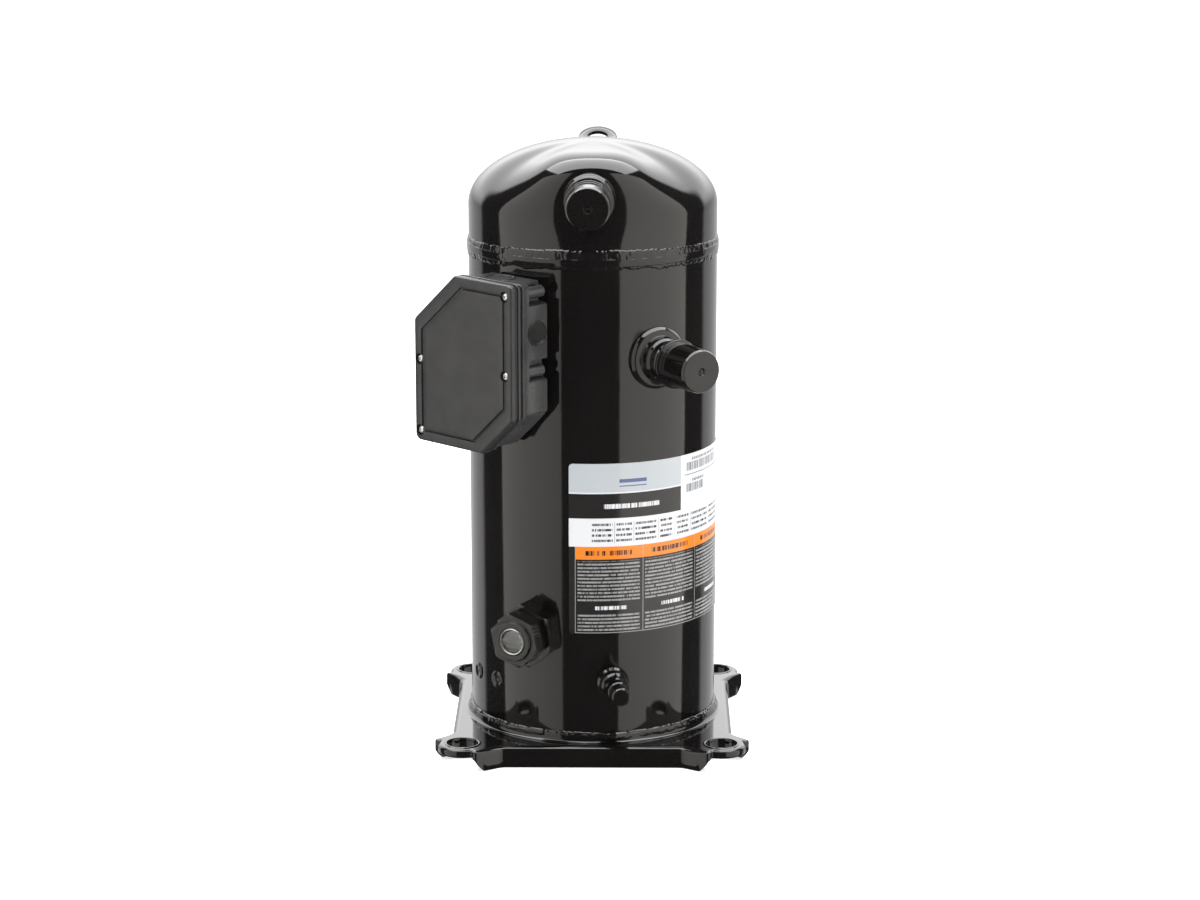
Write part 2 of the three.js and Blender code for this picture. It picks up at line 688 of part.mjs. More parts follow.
const protector = add(assembly, 'motor_protector', cylinder(6, -11, 11, 14), RUBBER);
protector.rotation.set(Math.PI / 2, 0, 10 * DEGREE, 'ZYX');
protector.position.set(62 * Math.cos(10 * DEGREE), 62 * Math.sin(10 * DEGREE), 238.4);

// ---------------------------------------------------------------- nameplate

const LABEL = { left: -10.4, right: 88.5, low: 99, high: 227, inner: 92.45, outer: 92.85 };
add(assembly, 'nameplate_label', prism(
  sector(LABEL.inner, LABEL.outer, (LABEL.left - 90) * DEGREE, (LABEL.right - 90) * DEGREE),
  LABEL.low, LABEL.high, 16,
), PAPER);

// ---------------------------------------------------------------- origin: centre of the footprint

assembly.updateMatrixWorld(true);
const bounds = new THREE.Box3().setFromObject(assembly, true);
const centre = bounds.getCenter(new THREE.Vector3());
assembly.position.set(-centre.x, -centre.y, -bounds.min.z);

export default assembly;
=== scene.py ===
"""A hermetic scroll compressor in black enamel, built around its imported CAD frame."""
import math

import bmesh
import bpy
from mathutils import Matrix, Vector, geometry, noise


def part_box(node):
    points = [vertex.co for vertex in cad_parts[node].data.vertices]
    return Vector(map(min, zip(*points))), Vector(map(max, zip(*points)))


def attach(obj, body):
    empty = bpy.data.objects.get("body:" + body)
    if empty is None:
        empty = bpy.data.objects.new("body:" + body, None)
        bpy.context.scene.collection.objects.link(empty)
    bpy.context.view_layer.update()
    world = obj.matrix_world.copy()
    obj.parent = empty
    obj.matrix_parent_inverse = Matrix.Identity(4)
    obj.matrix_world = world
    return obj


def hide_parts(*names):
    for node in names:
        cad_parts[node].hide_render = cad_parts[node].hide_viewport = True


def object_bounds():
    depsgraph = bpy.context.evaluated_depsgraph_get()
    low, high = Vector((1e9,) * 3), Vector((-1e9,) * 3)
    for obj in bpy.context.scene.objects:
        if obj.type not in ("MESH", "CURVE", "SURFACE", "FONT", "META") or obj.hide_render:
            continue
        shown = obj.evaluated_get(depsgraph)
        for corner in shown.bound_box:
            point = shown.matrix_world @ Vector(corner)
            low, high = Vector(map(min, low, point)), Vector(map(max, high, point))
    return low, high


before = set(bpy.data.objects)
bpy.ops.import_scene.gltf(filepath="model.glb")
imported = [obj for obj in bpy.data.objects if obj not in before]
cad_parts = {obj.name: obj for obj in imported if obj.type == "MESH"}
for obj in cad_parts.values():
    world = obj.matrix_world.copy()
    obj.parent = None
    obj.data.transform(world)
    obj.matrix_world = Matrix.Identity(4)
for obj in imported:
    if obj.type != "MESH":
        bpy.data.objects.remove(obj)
cad_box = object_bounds()

# -------------------- driving sizes, millimetres

MM = 0.001                         # one millimetre in metres
TAU = 2 * math.pi

SHELL_RADIUS = 92.1
SHELL_INNER = 88.5
SHELL_BOTTOM = 14.0
SHELL_SIDES = 240
SHELL_WALL = 3.6
CLEARANCE = 0.3
SEAM_LOW = 371.0
SEAM_HIGH = 377.0
SEAM_REACH = 93.4
DOME_START = 404.0
DOME_HEIGHT = 47.0
BROW_WIDTH = 24.0                  # degrees to each side of the front over which the dome turns boxy
PAD_DEPTH, PAD_WIDTH = 4.2, 31.0   # millimetres pressed in, degrees to each side of the front
EYE_PLACE = (3, 75, 440.6)
EYE_LEAN = 26                      # degrees

HOLE_HALF = 95.25                  # half the spacing of the mounting holes
HOLE_RADIUS = 11.0
EAR_RADIUS = 18.0
PLATE_TOP = 16.0
SHEET = 4.0
SKIRT_FACE = 104.2                 # skirt's outer face, from the axis
SKIRT_HALF = 66.0                  # where the skirt begins to flare
WING_HALF = 86.0
WING_FLARE = 13.3

DISCHARGE = (-1.0, 420.5)          # azimuth in degrees from the front, height
SUCTION = (31.0, 303.0)
SIGHT_GLASS = (-28.0, 97.6)
OIL_PORT = (9.5, 62.0)
TERMINAL = (-44.0, 302.0)
PLUG_WELDS = ((-50.2, 54.0), (-67.6, 54.0))

STUB_BORE = 9.8
STUB_NECK = 12.9

BOX_BACK = 95.5
BOX_FRONT = 122.0
COVER_BACK = 124.3
COVER_FRONT = 134.0
SCREW_SPOTS = ((43.5, 356.0), (43.5, 298.5), (-45.5, 246.0), (-45.5, 299.0))

# The shell's axis in the row frame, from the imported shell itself.
shell_low, shell_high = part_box("shell_tube")
AXIS = Vector(((shell_low.x + shell_high.x) / 2, (shell_low.y + shell_high.y) / 2, cad_box[0].z))


# -------------------- mesh helpers

def make_piece(name, points, faces, material, body="root", nodes=(), slot="black_paint", crease=32.0):
    """A closed mesh from points in millimetres about the shell's axis, smooth but for creased edges."""
    mesh = bpy.data.meshes.new(name)
    mesh.from_pydata([Vector(p) * MM + AXIS for p in points], [], faces)
    mesh.validate()
    finish_mesh(mesh, crease)
    piece = bpy.data.objects.new(name, mesh)
    bpy.context.scene.collection.objects.link(piece)
    mesh.materials.append(material)
    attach(piece, body)
    if nodes:
        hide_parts(*nodes)


def finish_mesh(mesh, crease):
    """Joins doubled points, turns faces outward and marks edges sharper than the crease angle."""
    bm = bmesh.new()
    bm.from_mesh(mesh)
    bmesh.ops.remove_doubles(bm, verts=bm.verts, dist=1e-6)
    bmesh.ops.recalc_face_normals(bm, faces=bm.faces)
    limit = math.radians(crease)
    for face in bm.faces:
        face.smooth = True
    for edge in bm.edges:
        edge.smooth = edge.calc_face_angle(0.0) < limit
    bm.to_mesh(mesh)
    bm.free()


def fillet(points, steps=5, closed=True):
    """Rounds corners of a flat path; a point is (x, y) or (x, y, radius)."""
    count = len(points)
    path = []
    for i, point in enumerate(points):
        here = Vector(point[:2])
        radius = point[2] if len(point) > 2 else 0.0
        ends = not closed and i in (0, count - 1)
        if radius <= 0 or ends:
            path.append(tuple(here))
            continue
        before = (Vector(points[i - 1][:2]) - here).normalized()
        after = (Vector(points[(i + 1) % count][:2]) - here).normalized()
        half = math.acos(max(-1.0, min(1.0, before.dot(after)))) / 2
        reach = radius / math.tan(half)
        middle = here + (before + after).normalized() * (radius / math.sin(half))
        first = here + before * reach - middle
        last = here + after * reach - middle
        turn = math.atan2(first.x * last.y - first.y * last.x, first.dot(last))
        for k in range(steps + 1):
            angle = turn * k / steps
            c, s = math.cos(angle), math.sin(angle)
            path.append((middle.x + first.x * c - first.y * s, middle.y + first.x * s + first.y * c))
    return path


def skinned(rows, wrap=False):
    """A skin over rows of points, each a ring of equal length or a single pole."""
    count = max(len(row) for row in rows)
    points, places = [], []
    for row in rows:
        first = len(points)
        places.append([first] * count if len(row) == 1 else range(first, first + count))
        points += row
    faces = []
    for i in range(len(rows) if wrap else len(rows) - 1):
        a, b = places[i], places[(i + 1) % len(rows)]
        for k in range(count):
            n = (k + 1) % count
            ring = [a[k], a[n], b[n], b[k]]
            face = [v for j, v in enumerate(ring) if v != ring[j - 1]]
            if len(set(face)) > 2:
                faces.append(face)
    return points, faces


def circle(radius, height, sides=96, x=0.0, y=0.0):
    if radius < 1e-6:
        return [(x, y, height)]
    turns = [TAU * k / sides for k in range(sides)]
    return [(x + radius * math.cos(a), y + radius * math.sin(a), height) for a in turns]


def turned(profile, sides=96):
    """A solid of a closed (radius, height) profile turned about Z."""
    return skinned([circle(radius, height, sides) for radius, height in profile], wrap=True)


def stacked(loops):
    """A solid through flat loops of equal length, capped at both ends."""
    points, faces = skinned(loops)
    size = len(loops[0])
    faces.append(list(range(size))[::-1])
    faces.append(list(range(len(points) - size, len(points))))
    return points, faces


def flat_fill(height, *loops):
    """Fills a flat outline, less its holes, with triangles; loops are outline first."""
    triangles = geometry.tessellate_polygon([[Vector((p[0], p[1], 0.0)) for p in loop] for loop in loops])
    return [(p[0], p[1], height) for loop in loops for p in loop], [list(t) for t in triangles]


def smooth(value):
    """Eases from 0 to 1."""
    value = max(0.0, min(1.0, value))
    return value * value * (3 - 2 * value)


def bump(value, centre, width):
    """A bell of height 1."""
    return math.exp(-((value - centre) / width) ** 2)


def shift(mesh, dx, dy):
    points, faces = mesh
    return [(x + dx, y + dy, z) for x, y, z in points], faces


def moved(mesh, matrix):
    points, faces = mesh
    return [tuple(matrix @ Vector(p)) for p in points], faces


def merged(*meshes):
    points, faces = [], []
    for more_points, more_faces in meshes:
        faces += [[v + len(points) for v in face] for face in more_faces]
        points += more_points
    return points, faces


def radial(place):
    """Maps local X around the shell, Y up and Z outward to the shell's own axes."""
    azimuth, height = math.radians(place[0]), place[1]
    return (Matrix.Translation((0, 0, height)) @ Matrix.Rotation(azimuth, 4, "Z")
            @ Matrix.Rotation(math.pi / 2, 4, "X"))


def hexagon(across_flats, limit, height, turn, sides=96):
    """A hexagon whose corners are cut back to the limit radius; turn is a corner's angle."""
    loop = []
    for k in range(sides):
        angle = TAU * k / sides
        off_flat = angle % (TAU / 6) - TAU / 12
        radius = min(across_flats / 2 / math.cos(off_flat), limit)
        heading = angle + math.radians(turn)
        loop.append((radius * math.cos(heading), radius * math.sin(heading), height))
    return loop


def carved(mesh, *cutters):
    """Cuts closed meshes out of a closed mesh."""
    def temporary(part):
        data = bpy.data.meshes.new("part")
        data.from_pydata([Vector(p) for p in part[0]], [], part[1])
        finish_mesh(data, 180.0)
        made = bpy.data.objects.new("part", data)
        bpy.context.scene.collection.objects.link(made)
        return made
    body = temporary(mesh)
    tools = [temporary(cutter) for cutter in cutters]
    for tool in tools:
        cut = body.modifiers.new("cut", "BOOLEAN")
        cut.operation = "DIFFERENCE"
        cut.solver = "EXACT"
        cut.object = tool
    bpy.context.view_layer.update()
    result = body.evaluated_get(bpy.context.evaluated_depsgraph_get()).to_mesh()
    points = [tuple(v.co) for v in result.vertices]
    faces = [list(p.vertices) for p in result.polygons]
    for made in (body, *tools):
        data = made.data
        bpy.data.objects.remove(made)
        bpy.data.meshes.remove(data)
    return points, faces


# -------------------- materials

def blank_material(name):
    material = bpy.data.materials.new(name)
    material.use_nodes = True
    tree = material.node_tree
    shader = tree.nodes["Principled BSDF"]
    return material, tree, shader


def node(tree, kind, **values):
    made = tree.nodes.new(kind)
    for key, value in values.items():
        if hasattr(made, key):
            setattr(made, key, value)
        else:
            made.inputs[key.replace("_", " ")].default_value = value
    return made


def object_noise(tree, scale, detail, stretch=None):
    where = node(tree, "ShaderNodeTexCoord")
    source = where.outputs["Object"]
    if stretch:
        mapping = node(tree, "ShaderNodeMapping")
        mapping.inputs["Scale"].default_value = stretch
        tree.links.new(source, mapping.inputs["Vector"])
        source = mapping.outputs["Vector"]
    made = node(tree, "ShaderNodeTexNoise", Scale=scale, Detail=detail)
    tree.links.new(source, made.inputs["Vector"])
    return made.outputs["Fac"]


def ramp(tree, source, stops):
    made = node(tree, "ShaderNodeValToRGB")
    elements = made.color_ramp.elements
    while len(elements) < len(stops):
        elements.new(0.5)
    for element, (position, colour) in zip(elements, stops):
        element.position = position
        element.color = (*colour, 1.0)
    tree.links.new(source, made.inputs["Fac"])
    return made.outputs["Color"]


def grey(value):
    return (value, value, value)


def bumps(tree, shader, layers):
    """Stacks bump layers, each (height, strength, distance in metres)."""
    last = None
    for height, strength, distance in layers:
        made = node(tree, "ShaderNodeBump", Strength=strength, Distance=distance)
        tree.links.new(height, made.inputs["Height"])
        if last:
            tree.links.new(last, made.inputs["Normal"])
        last = made.outputs["Normal"]
    tree.links.new(last, shader.inputs["Normal"])


ENAMEL_IOR = 1.52


def enamel():
    """Gloss black paint: faint orange peel, slow waviness, slightly uneven gloss."""
    material, tree, shader = blank_material("black_enamel")
    tone = ramp(tree, object_noise(tree, 18, 3),
                [(0.3, (0.0030, 0.0027, 0.0027)), (0.7, (0.0042, 0.0038, 0.0037))])
    tree.links.new(tone, shader.inputs["Base Color"])
    gloss = ramp(tree, object_noise(tree, 45, 4), [(0.3, grey(0.055)), (0.75, grey(0.10))])
    tree.links.new(gloss, shader.inputs["Roughness"])
    shader.inputs["IOR"].default_value = ENAMEL_IOR
    bumps(tree, shader, [
        (object_noise(tree, 16, 1), 0.30, 0.0006),
        (object_noise(tree, 420, 2), 0.10, 0.00012),
    ])
    return material


def weld_enamel():
    """The same paint over rough weld metal."""
    material, tree, shader = blank_material("painted_weld")
    tone = ramp(tree, object_noise(tree, 200, 4), [(0.3, grey(0.003)), (0.8, (0.008, 0.007, 0.007))])
    tree.links.new(tone, shader.inputs["Base Color"])
    gloss = ramp(tree, object_noise(tree, 260, 4), [(0.3, grey(0.07)), (0.75, grey(0.16))])
    tree.links.new(gloss, shader.inputs["Roughness"])
    shader.inputs["IOR"].default_value = ENAMEL_IOR
    bumps(tree, shader, [
        (object_noise(tree, 220, 2), 0.35, 0.0006),
        (object_noise(tree, 900, 2), 0.15, 0.0002),
    ])
    return material


def moulded_plastic(name, dark, light, roughness):
    """Spark-textured black plastic with a faint sheen."""
    material, tree, shader = blank_material(name)
    tone = ramp(tree, object_noise(tree, 60, 4), [(0.3, dark), (0.7, light)])
    tree.links.new(tone, shader.inputs["Base Color"])
    low, high = roughness
    tree.links.new(ramp(tree, object_noise(tree, 90, 3), [(0.3, grey(low)), (0.7, grey(high))]),
                   shader.inputs["Roughness"])
    shader.inputs["IOR"].default_value = 1.48
    bumps(tree, shader, [
        (object_noise(tree, 2600, 2), 0.35, 0.00012),
        (object_noise(tree, 30, 1), 0.12, 0.0004),
    ])
    return material


def bare_metal(name, dark, light, roughness, stretch=None, grain=900, depth=0.2):
    """Machined, plated or cast metal: tone and gloss vary with the grain."""
    material, tree, shader = blank_material(name)
    pattern = object_noise(tree, grain, 3, stretch=stretch)
    tree.links.new(ramp(tree, pattern, [(0.3, dark), (0.7, light)]), shader.inputs["Base Color"])
    low, high = roughness
    wear = object_noise(tree, grain / 3, 3, stretch=stretch)
    gloss = ramp(tree, wear, [(0.3, grey(low)), (0.7, grey(high))])
    tree.links.new(gloss, shader.inputs["Roughness"])
    shader.inputs["Metallic"].default_value = 1.0
    bumps(tree, shader, [(pattern, depth, 0.0001)])
    return material


def soft_rubber():
    material, tree, shader = blank_material("black_rubber")
    tree.links.new(ramp(tree, object_noise(tree, 150, 4), [(0.3, grey(0.012)), (0.7, grey(0.022))]),
                   shader.inputs["Base Color"])
    tree.links.new(ramp(tree, object_noise(tree, 70, 2), [(0.3, grey(0.55)), (0.7, grey(0.75))]),
                   shader.inputs["Roughness"])
    bumps(tree, shader, [(object_noise(tree, 1500, 2), 0.3, 0.0001)])
    return material


def clear_glass():
    """Sight glass: thick clear glass with a little haze."""
    material, tree, shader = blank_material("sight_glass_clear")
    haze = ramp(tree, object_noise(tree, 120, 3), [(0.35, grey(0.01)), (0.8, grey(0.06))])
    tree.links.new(haze, shader.inputs["Roughness"])
    shader.inputs["Base Color"].default_value = (0.80, 0.84, 0.80, 1)
    shader.inputs["Transmission Weight"].default_value = 1.0
    shader.inputs["IOR"].default_value = 1.5
    return material


def painted_floor():
    material, tree, shader = blank_material("studio_floor")
    tree.links.new(ramp(tree, object_noise(tree, 2, 2), [(0.3, grey(0.90)), (0.7, grey(0.93))]),
                   shader.inputs["Base Color"])
    shader.inputs["Roughness"].default_value = 0.9
    shader.inputs["Specular IOR Level"].default_value = 0.0
    shader.inputs["Emission Color"].default_value = (1, 1, 1, 1)
    shader.inputs["Emission Strength"].default_value = 0.6
    return material


PAINT = enamel()
WELD = weld_enamel()
# The housing's plastic is the cover's black plastic toned lighter: painted light, standing in for the light
# its stepped sides and recesses catch.
BOX_PLASTIC_PAINTED_LIGHT = moulded_plastic("box_plastic", (0.022, 0.022, 0.023), (0.029, 0.029, 0.030), (0.26, 0.36))
COVER_PLASTIC = moulded_plastic("cover_plastic", (0.013, 0.013, 0.014), (0.018, 0.018, 0.019), (0.33, 0.43))
ZINC = bare_metal("zinc_plate", (0.62, 0.63, 0.64), (0.82, 0.83, 0.85), (0.22, 0.36), grain=500)
STEEL = bare_metal("machined_steel", (0.36, 0.36, 0.37), (0.52, 0.52, 0.53), (0.22, 0.38), stretch=(1, 1, 12))
LAMINATION = bare_metal("stacked_laminations", (0.16, 0.16, 0.17), (0.30, 0.30, 0.31), (0.35, 0.55),
                        stretch=(1, 1, 60), grain=400)
IRON = bare_metal("cast_iron", (0.13, 0.13, 0.13), (0.22, 0.22, 0.22), (0.45, 0.65), grain=500, depth=0.5)
ALUMINIUM = bare_metal("die_cast_aluminium", (0.58, 0.59, 0.60), (0.72, 0.73, 0.74), (0.3, 0.45), grain=300)
BRONZE = bare_metal("bearing_bronze", (0.42, 0.27, 0.10), (0.58, 0.40, 0.18), (0.25, 0.4), grain=350)
COPPER = bare_metal("lacquered_windings", (0.30, 0.10, 0.03), (0.62, 0.25, 0.09), (0.25, 0.42),
                    stretch=(1, 1, 5), grain=260, depth=0.7)
RUBBER = soft_rubber()
GLASS = clear_glass()
GLOSS_PLASTIC = moulded_plastic("knockout_plastic", grey(0.010), grey(0.014), (0.14, 0.22))
RING_STEEL = bare_metal("bright_ring", (0.36, 0.36, 0.34), (0.50, 0.50, 0.47), (0.12, 0.22), grain=700)


# -------------------- shell, seam and dome

def shell():
    top = SEAM_LOW - CLEARANCE
    profile = fillet([
        (SHELL_INNER, SHELL_BOTTOM), (SHELL_RADIUS, SHELL_BOTTOM, 0.5),
        (SHELL_RADIUS, top, 0.4), (SHELL_INNER, top),
    ])
    make_piece("shell_body", *turned(profile, SHELL_SIDES), PAINT, nodes=["shell_tube"])


def bottom_dish():
    rim = SHELL_INNER - CLEARANCE
    inner_rim = rim - SHELL_WALL
    profile = fillet([
        (0, 3), (64, 3, 40), (80, 8, 25), (rim, 22, 12), (rim, 34, 0.8), (inner_rim, 34, 0.8),
        (inner_rim, 23, 9), (77.5, 10.6, 22), (62, 6.6, 40), (0, 6.6),
    ], steps=8, closed=False)
    make_piece("bottom_dish", *turned(profile, 160), PAINT, nodes=["lower_shell_cap"])


def seam_plate():
    bore = 14
    profile = fillet([
        (bore, SEAM_LOW), (SEAM_REACH, SEAM_LOW, 0.8), (SEAM_REACH, SEAM_HIGH, 0.8), (bore, SEAM_HIGH),
    ])
    make_piece("seam_plate", *turned(profile, SHELL_SIDES), PAINT, nodes=["muffler_plate"])


def dome_exponent(azimuth):
    """Above 2 the dome is boxy: it is at the front, where it is pressed up around the discharge stub."""
    shoulders = bump(azimuth, -56, 12) + bump(azimuth, 56, 12)
    return 2 + 4.6 * bump(azimuth, 0, BROW_WIDTH) - 0.15 * shoulders


def pad(azimuth, height):
    """How far the front is pressed flat around the discharge stub, in millimetres."""
    return PAD_DEPTH * bump(azimuth, 0, PAD_WIDTH) * smooth((height - 378) / 28)


def dome_point(grow, azimuth, tilt):
    """Tilt runs from 0 at the crown to a quarter turn at the wall."""
    power = 2 + (dome_exponent(azimuth) - 2) * smooth(tilt / 0.7)
    s, c = math.sin(tilt), max(0.0, math.cos(tilt))
    size = (s ** power + c ** power) ** (-1 / power)
    height = DOME_START + (DOME_HEIGHT + grow) * c * size
    reach = (SHELL_RADIUS + grow - pad(azimuth, height)) * s * size
    heading = math.radians(azimuth)
    return (reach * math.sin(heading), -reach * math.cos(heading), height)


def dome_cap():
    steps = 56
    foot = SEAM_HIGH + CLEARANCE

    def skin(grow, low):
        headings = [TAU * k / SHELL_SIDES for k in range(SHELL_SIDES)]
        azimuths = [(90 + 360 * k / SHELL_SIDES + 180) % 360 - 180 for k in range(SHELL_SIDES)]
        rows = []
        for z in (low, low + 0.8, *[380 + 2 * i for i in range(12)]):
            reaches = [SHELL_RADIUS + grow - pad(azimuth, z) for azimuth in azimuths]
            rows.append([(r * math.cos(a), r * math.sin(a), z) for r, a in zip(reaches, headings)])
        for i in range(steps):
            tilt = math.pi / 2 * (1 - i / steps)
            rows.append([dome_point(grow, azimuth, tilt) for azimuth in azimuths])
        return rows + [[(0.0, 0.0, DOME_START + DOME_HEIGHT + grow)]]

    rows = skin(0.0, foot) + skin(-SHELL_WALL, foot)[::-1]
    make_piece("dome_cap", *skinned(rows, wrap=True), PAINT, nodes=["top_cap"])


def weld_ring(name, low, high, bulge, sides, seed, swell=lambda azimuth: 0.0):
    """A weld bead lying on the shell: ragged edges, overlapping ripples and slow lumps."""
    across = 14
    buried = 1.2
    rows = [[] for _ in range(2 * across + 2)]
    for k in range(sides):
        heading = TAU * k / sides
        azimuth = math.degrees(heading) - 180
        out = Vector((-math.sin(heading), math.cos(heading), 0.0))
        here = out * SHELL_RADIUS + Vector((0, 0, seed))
        low_edge = low(azimuth) + 1.6 * noise.noise(here * 0.09) + 1.2 * noise.noise(here * 0.4)
        high_edge = (high(azimuth) + 0.7 * noise.noise(here * 0.13 + Vector((9, 9, 9)))
                     + 0.6 * noise.noise(here * 0.5 + Vector((5, 5, 5))))
        lump = 1 + 0.3 * noise.noise(here * 0.14) + swell(azimuth)
        for j in range(across + 1):
            u = j / across
            z = low_edge + (high_edge - low_edge) * u
            chevron = SHELL_RADIUS * heading + 3.0 * (u - 0.5) ** 2
            grain = 0.28 * noise.noise(Vector((here.x, here.y, z)) * 0.4)
            ripple = 0.035 * math.sin(TAU * chevron / 2.6) + grain
            height = max(0.0, math.sin(math.pi * u)) ** 0.45
            reach = SHELL_RADIUS - 0.35 + height * (bulge * lump + ripple)
            up = Vector((0, 0, z))
            rows[j].append(tuple(out * reach + up))
            rows[2 * across + 1 - j].append(tuple(out * (SHELL_RADIUS - buried) + up))
    make_piece(name, *skinned(rows, wrap=True), WELD, crease=60)


def welds():
    weld_ring("seam_weld", lambda a: 365.5 + 3.5 * bump(a, 0, 60), lambda a: 380.5 + 3 * bump(a, 0, 60),
              bulge=1.5, sides=1400, seed=0.0)
    weld_ring("base_weld", lambda a: 16.5, lambda a: 24.0,
              bulge=2.2, sides=1200, seed=40.0, swell=lambda a: 0.9 * bump(a, 10, 5.5))


def plug_welds():
    """Two filled spots low on the shell, where the lower bearing's bracket is welded in."""
    spot = fillet([
        (0, 90.5), (6.6, 90.5), (6.4, 92.5, 0.4), (5.0, 93.3, 1.0), (2.6, 92.3, 0.9), (1.2, 92.4, 0.6),
        (0, 92.9),
    ], closed=False)
    for index, place in enumerate(PLUG_WELDS, 1):
        on_shell(f"plug_weld_{index}", turned(spot, 64), place, WELD)


def lifting_lug():
    """A tab with an eye, leaning back from the dome's rear shoulder."""
    hole, rim, foot, half = 7.8, 14.6, 14.0, 1.7
    outline = [(rim * math.cos(a), rim * math.sin(a)) for a in (math.pi * k / 40 for k in range(41))]
    outline += [(-rim - 1.5 * t, -foot * t) for t in (0.3, 0.6, 1.0)]
    outline += [((rim + 1.5) * (k / 10), -foot) for k in range(-9, 10)]
    outline += [(rim + 1.5 * t, -foot * t) for t in (1.0, 0.6, 0.3)]
    angles = [math.atan2(y, x) for x, y in outline]
    edge = 0.8

    def outer(inset, level):
        return [(x * (1 - inset / rim), y * (1 - inset / rim), level * (1 + 0.35 * smooth(-y / foot)))
                for x, y in outline]

    def inner(radius, level):
        return [(radius * math.cos(a), radius * math.sin(a), level) for a in angles]

    rows = [
        outer(0, half - edge), outer(0.24, half - 0.3), outer(edge, half), inner(hole + edge, half),
        inner(hole + 0.24, half - 0.3), inner(hole, half - edge), inner(hole, -half + edge),
        inner(hole + 0.24, -half + 0.3), inner(hole + edge, -half), outer(edge, -half),
        outer(0.24, -half + 0.3), outer(0, -half + edge),
    ]
    place = Matrix.Translation(EYE_PLACE) @ Matrix.Rotation(math.radians(EYE_LEAN), 4, "X")
    make_piece("lifting_lug", *moved(skinned(rows, wrap=True), place), PAINT, nodes=["lifting_eye"])


# -------------------- stamped base

COLLAR_FOOT = 97.6
COLLAR_BORE = 92.5
LIP_FOOT = 13.8
LIP_UNDER = 13.2


def spaced(path, longest):
    """Adds points so that no stretch of an open path is longer than that."""
    result = []
    for a, b in zip(path, path[1:]):
        parts = max(1, math.ceil(math.dist(a, b) / longest))
        result += [(a[0] + (b[0] - a[0]) * k / parts, a[1] + (b[1] - a[1]) * k / parts) for k in range(parts)]
    return result


def base_side():
    """One side's edge, from the middle of one ear to the middle of the next."""
    def ear(side, angle):
        turn = math.radians(angle)
        return (side * HOLE_HALF + EAR_RADIUS * math.cos(turn), -HOLE_HALF + EAR_RADIUS * math.sin(turn))

    wing = SKIRT_FACE + WING_FLARE
    left = [ear(-1, 225 + 61 * k / 12) for k in range(13)]
    right = [ear(1, 254 + 61 * k / 12) for k in range(13)]
    corners = [(-88.3, -112.0, 1.2), (-WING_HALF, -wing, 2.6), (-SKIRT_HALF, -SKIRT_FACE, 10),
               (SKIRT_HALF, -SKIRT_FACE, 10), (WING_HALF, -wing, 2.6), (88.3, -112.0, 1.2)]
    return spaced(fillet(left + corners + right, steps=8, closed=False), 3.0)


def edge_shape(along):
    """Bend radius, sheet thickness and lower edge of the rim, from the distance along its side."""
    taper = smooth((along - 72) / 13)
    ear = smooth((along - WING_HALF) / 3)
    bend = 5 - 3 * taper + 0.6 * ear
    wall = SHEET - 2.7 * taper + 0.9 * ear
    lower = 9 * max(0.0, min(1.0, (along - 79) / 7)) + ear
    return bend, wall, lower


def rim_section(along):
    """Points of the rim's section as (distance in from the edge, height), from top to underside."""
    bend, wall, lower = edge_shape(along)
    under, inner = PLATE_TOP - SHEET, 0.6
    section = [(bend + 0.3, PLATE_TOP)]
    for k in range(9):
        turn = math.pi / 2 * k / 8
        section.append((bend * (1 - math.sin(turn)), PLATE_TOP - bend * (1 - math.cos(turn))))
    section += [(0, lower + 0.6), (0.2, lower + 0.2), (0.6, lower), (wall - 0.5, lower), (wall, lower + 0.5)]
    for k in range(4):
        turn = math.pi / 2 * k / 3
        section.append((wall + inner * (1 - math.cos(turn)), under - inner * (1 - math.sin(turn))))
    section.append((wall + inner + 0.3, under))
    return section


def stamped_base():
    side = base_side()
    edge = []
    for quarter in range(4):
        c, s = round(math.cos(quarter * math.pi / 2)), round(math.sin(quarter * math.pi / 2))
        edge += [((x * c - y * s, x * s + y * c), abs(x)) for x, y in side]
    sections = []
    for i, (here, along) in enumerate(edge):
        before, after = edge[i - 1][0], edge[(i + 1) % len(edge)][0]
        heading = Vector((after[0] - before[0], after[1] - before[1])).normalized()
        out = Vector((heading.y, -heading.x))
        sections.append([(here[0] - out.x * inward, here[1] - out.y * inward, height)
                         for inward, height in rim_section(along)])
    rows = [list(row) for row in zip(*sections)]

    collar = [(COLLAR_FOOT + 0.4, PLATE_TOP)] + fillet([
        (COLLAR_FOOT, PLATE_TOP), (94.0, PLATE_TOP, 3.2), (93.8, 22.2, 0.8), (COLLAR_BORE, 22.2, 0.5),
        (COLLAR_BORE, PLATE_TOP - SHEET),
    ], steps=6, closed=False)
    lip = [(LIP_FOOT + 0.4, PLATE_TOP)] + fillet([
        (LIP_FOOT, PLATE_TOP), (13.0, 16.6, 0.9), (11.7, 16.6, 0.9), (HOLE_RADIUS, 14.8, 1.2),
        (HOLE_RADIUS, 9.0, 0.8), (LIP_UNDER, 9.0, 0.8), (LIP_UNDER, PLATE_TOP - SHEET),
    ], steps=4, closed=False) + [(LIP_UNDER + 0.3, PLATE_TOP - SHEET)]

    spots = [(x * HOLE_HALF, y * HOLE_HALF) for x, y in ((-1, -1), (1, -1), (1, 1), (-1, 1))]
    parts = [skinned(rows), skinned([circle(r, z, SHELL_SIDES) for r, z in collar])]
    parts += [skinned([circle(r, z, 64, x, y) for r, z in lip]) for x, y in spots]
    parts.append(flat_fill(PLATE_TOP, rows[0], circle(collar[0][0], 0, SHELL_SIDES),
                           *[circle(lip[0][0], 0, 64, x, y) for x, y in spots]))
    parts.append(flat_fill(PLATE_TOP - SHEET, rows[-1], circle(COLLAR_BORE, 0, SHELL_SIDES),
                           *[circle(lip[-1][0], 0, 64, x, y) for x, y in spots]))
    make_piece("stamped_base", *merged(*parts), PAINT, nodes=["base_plate"])


# -------------------- stubs and their shipping caps

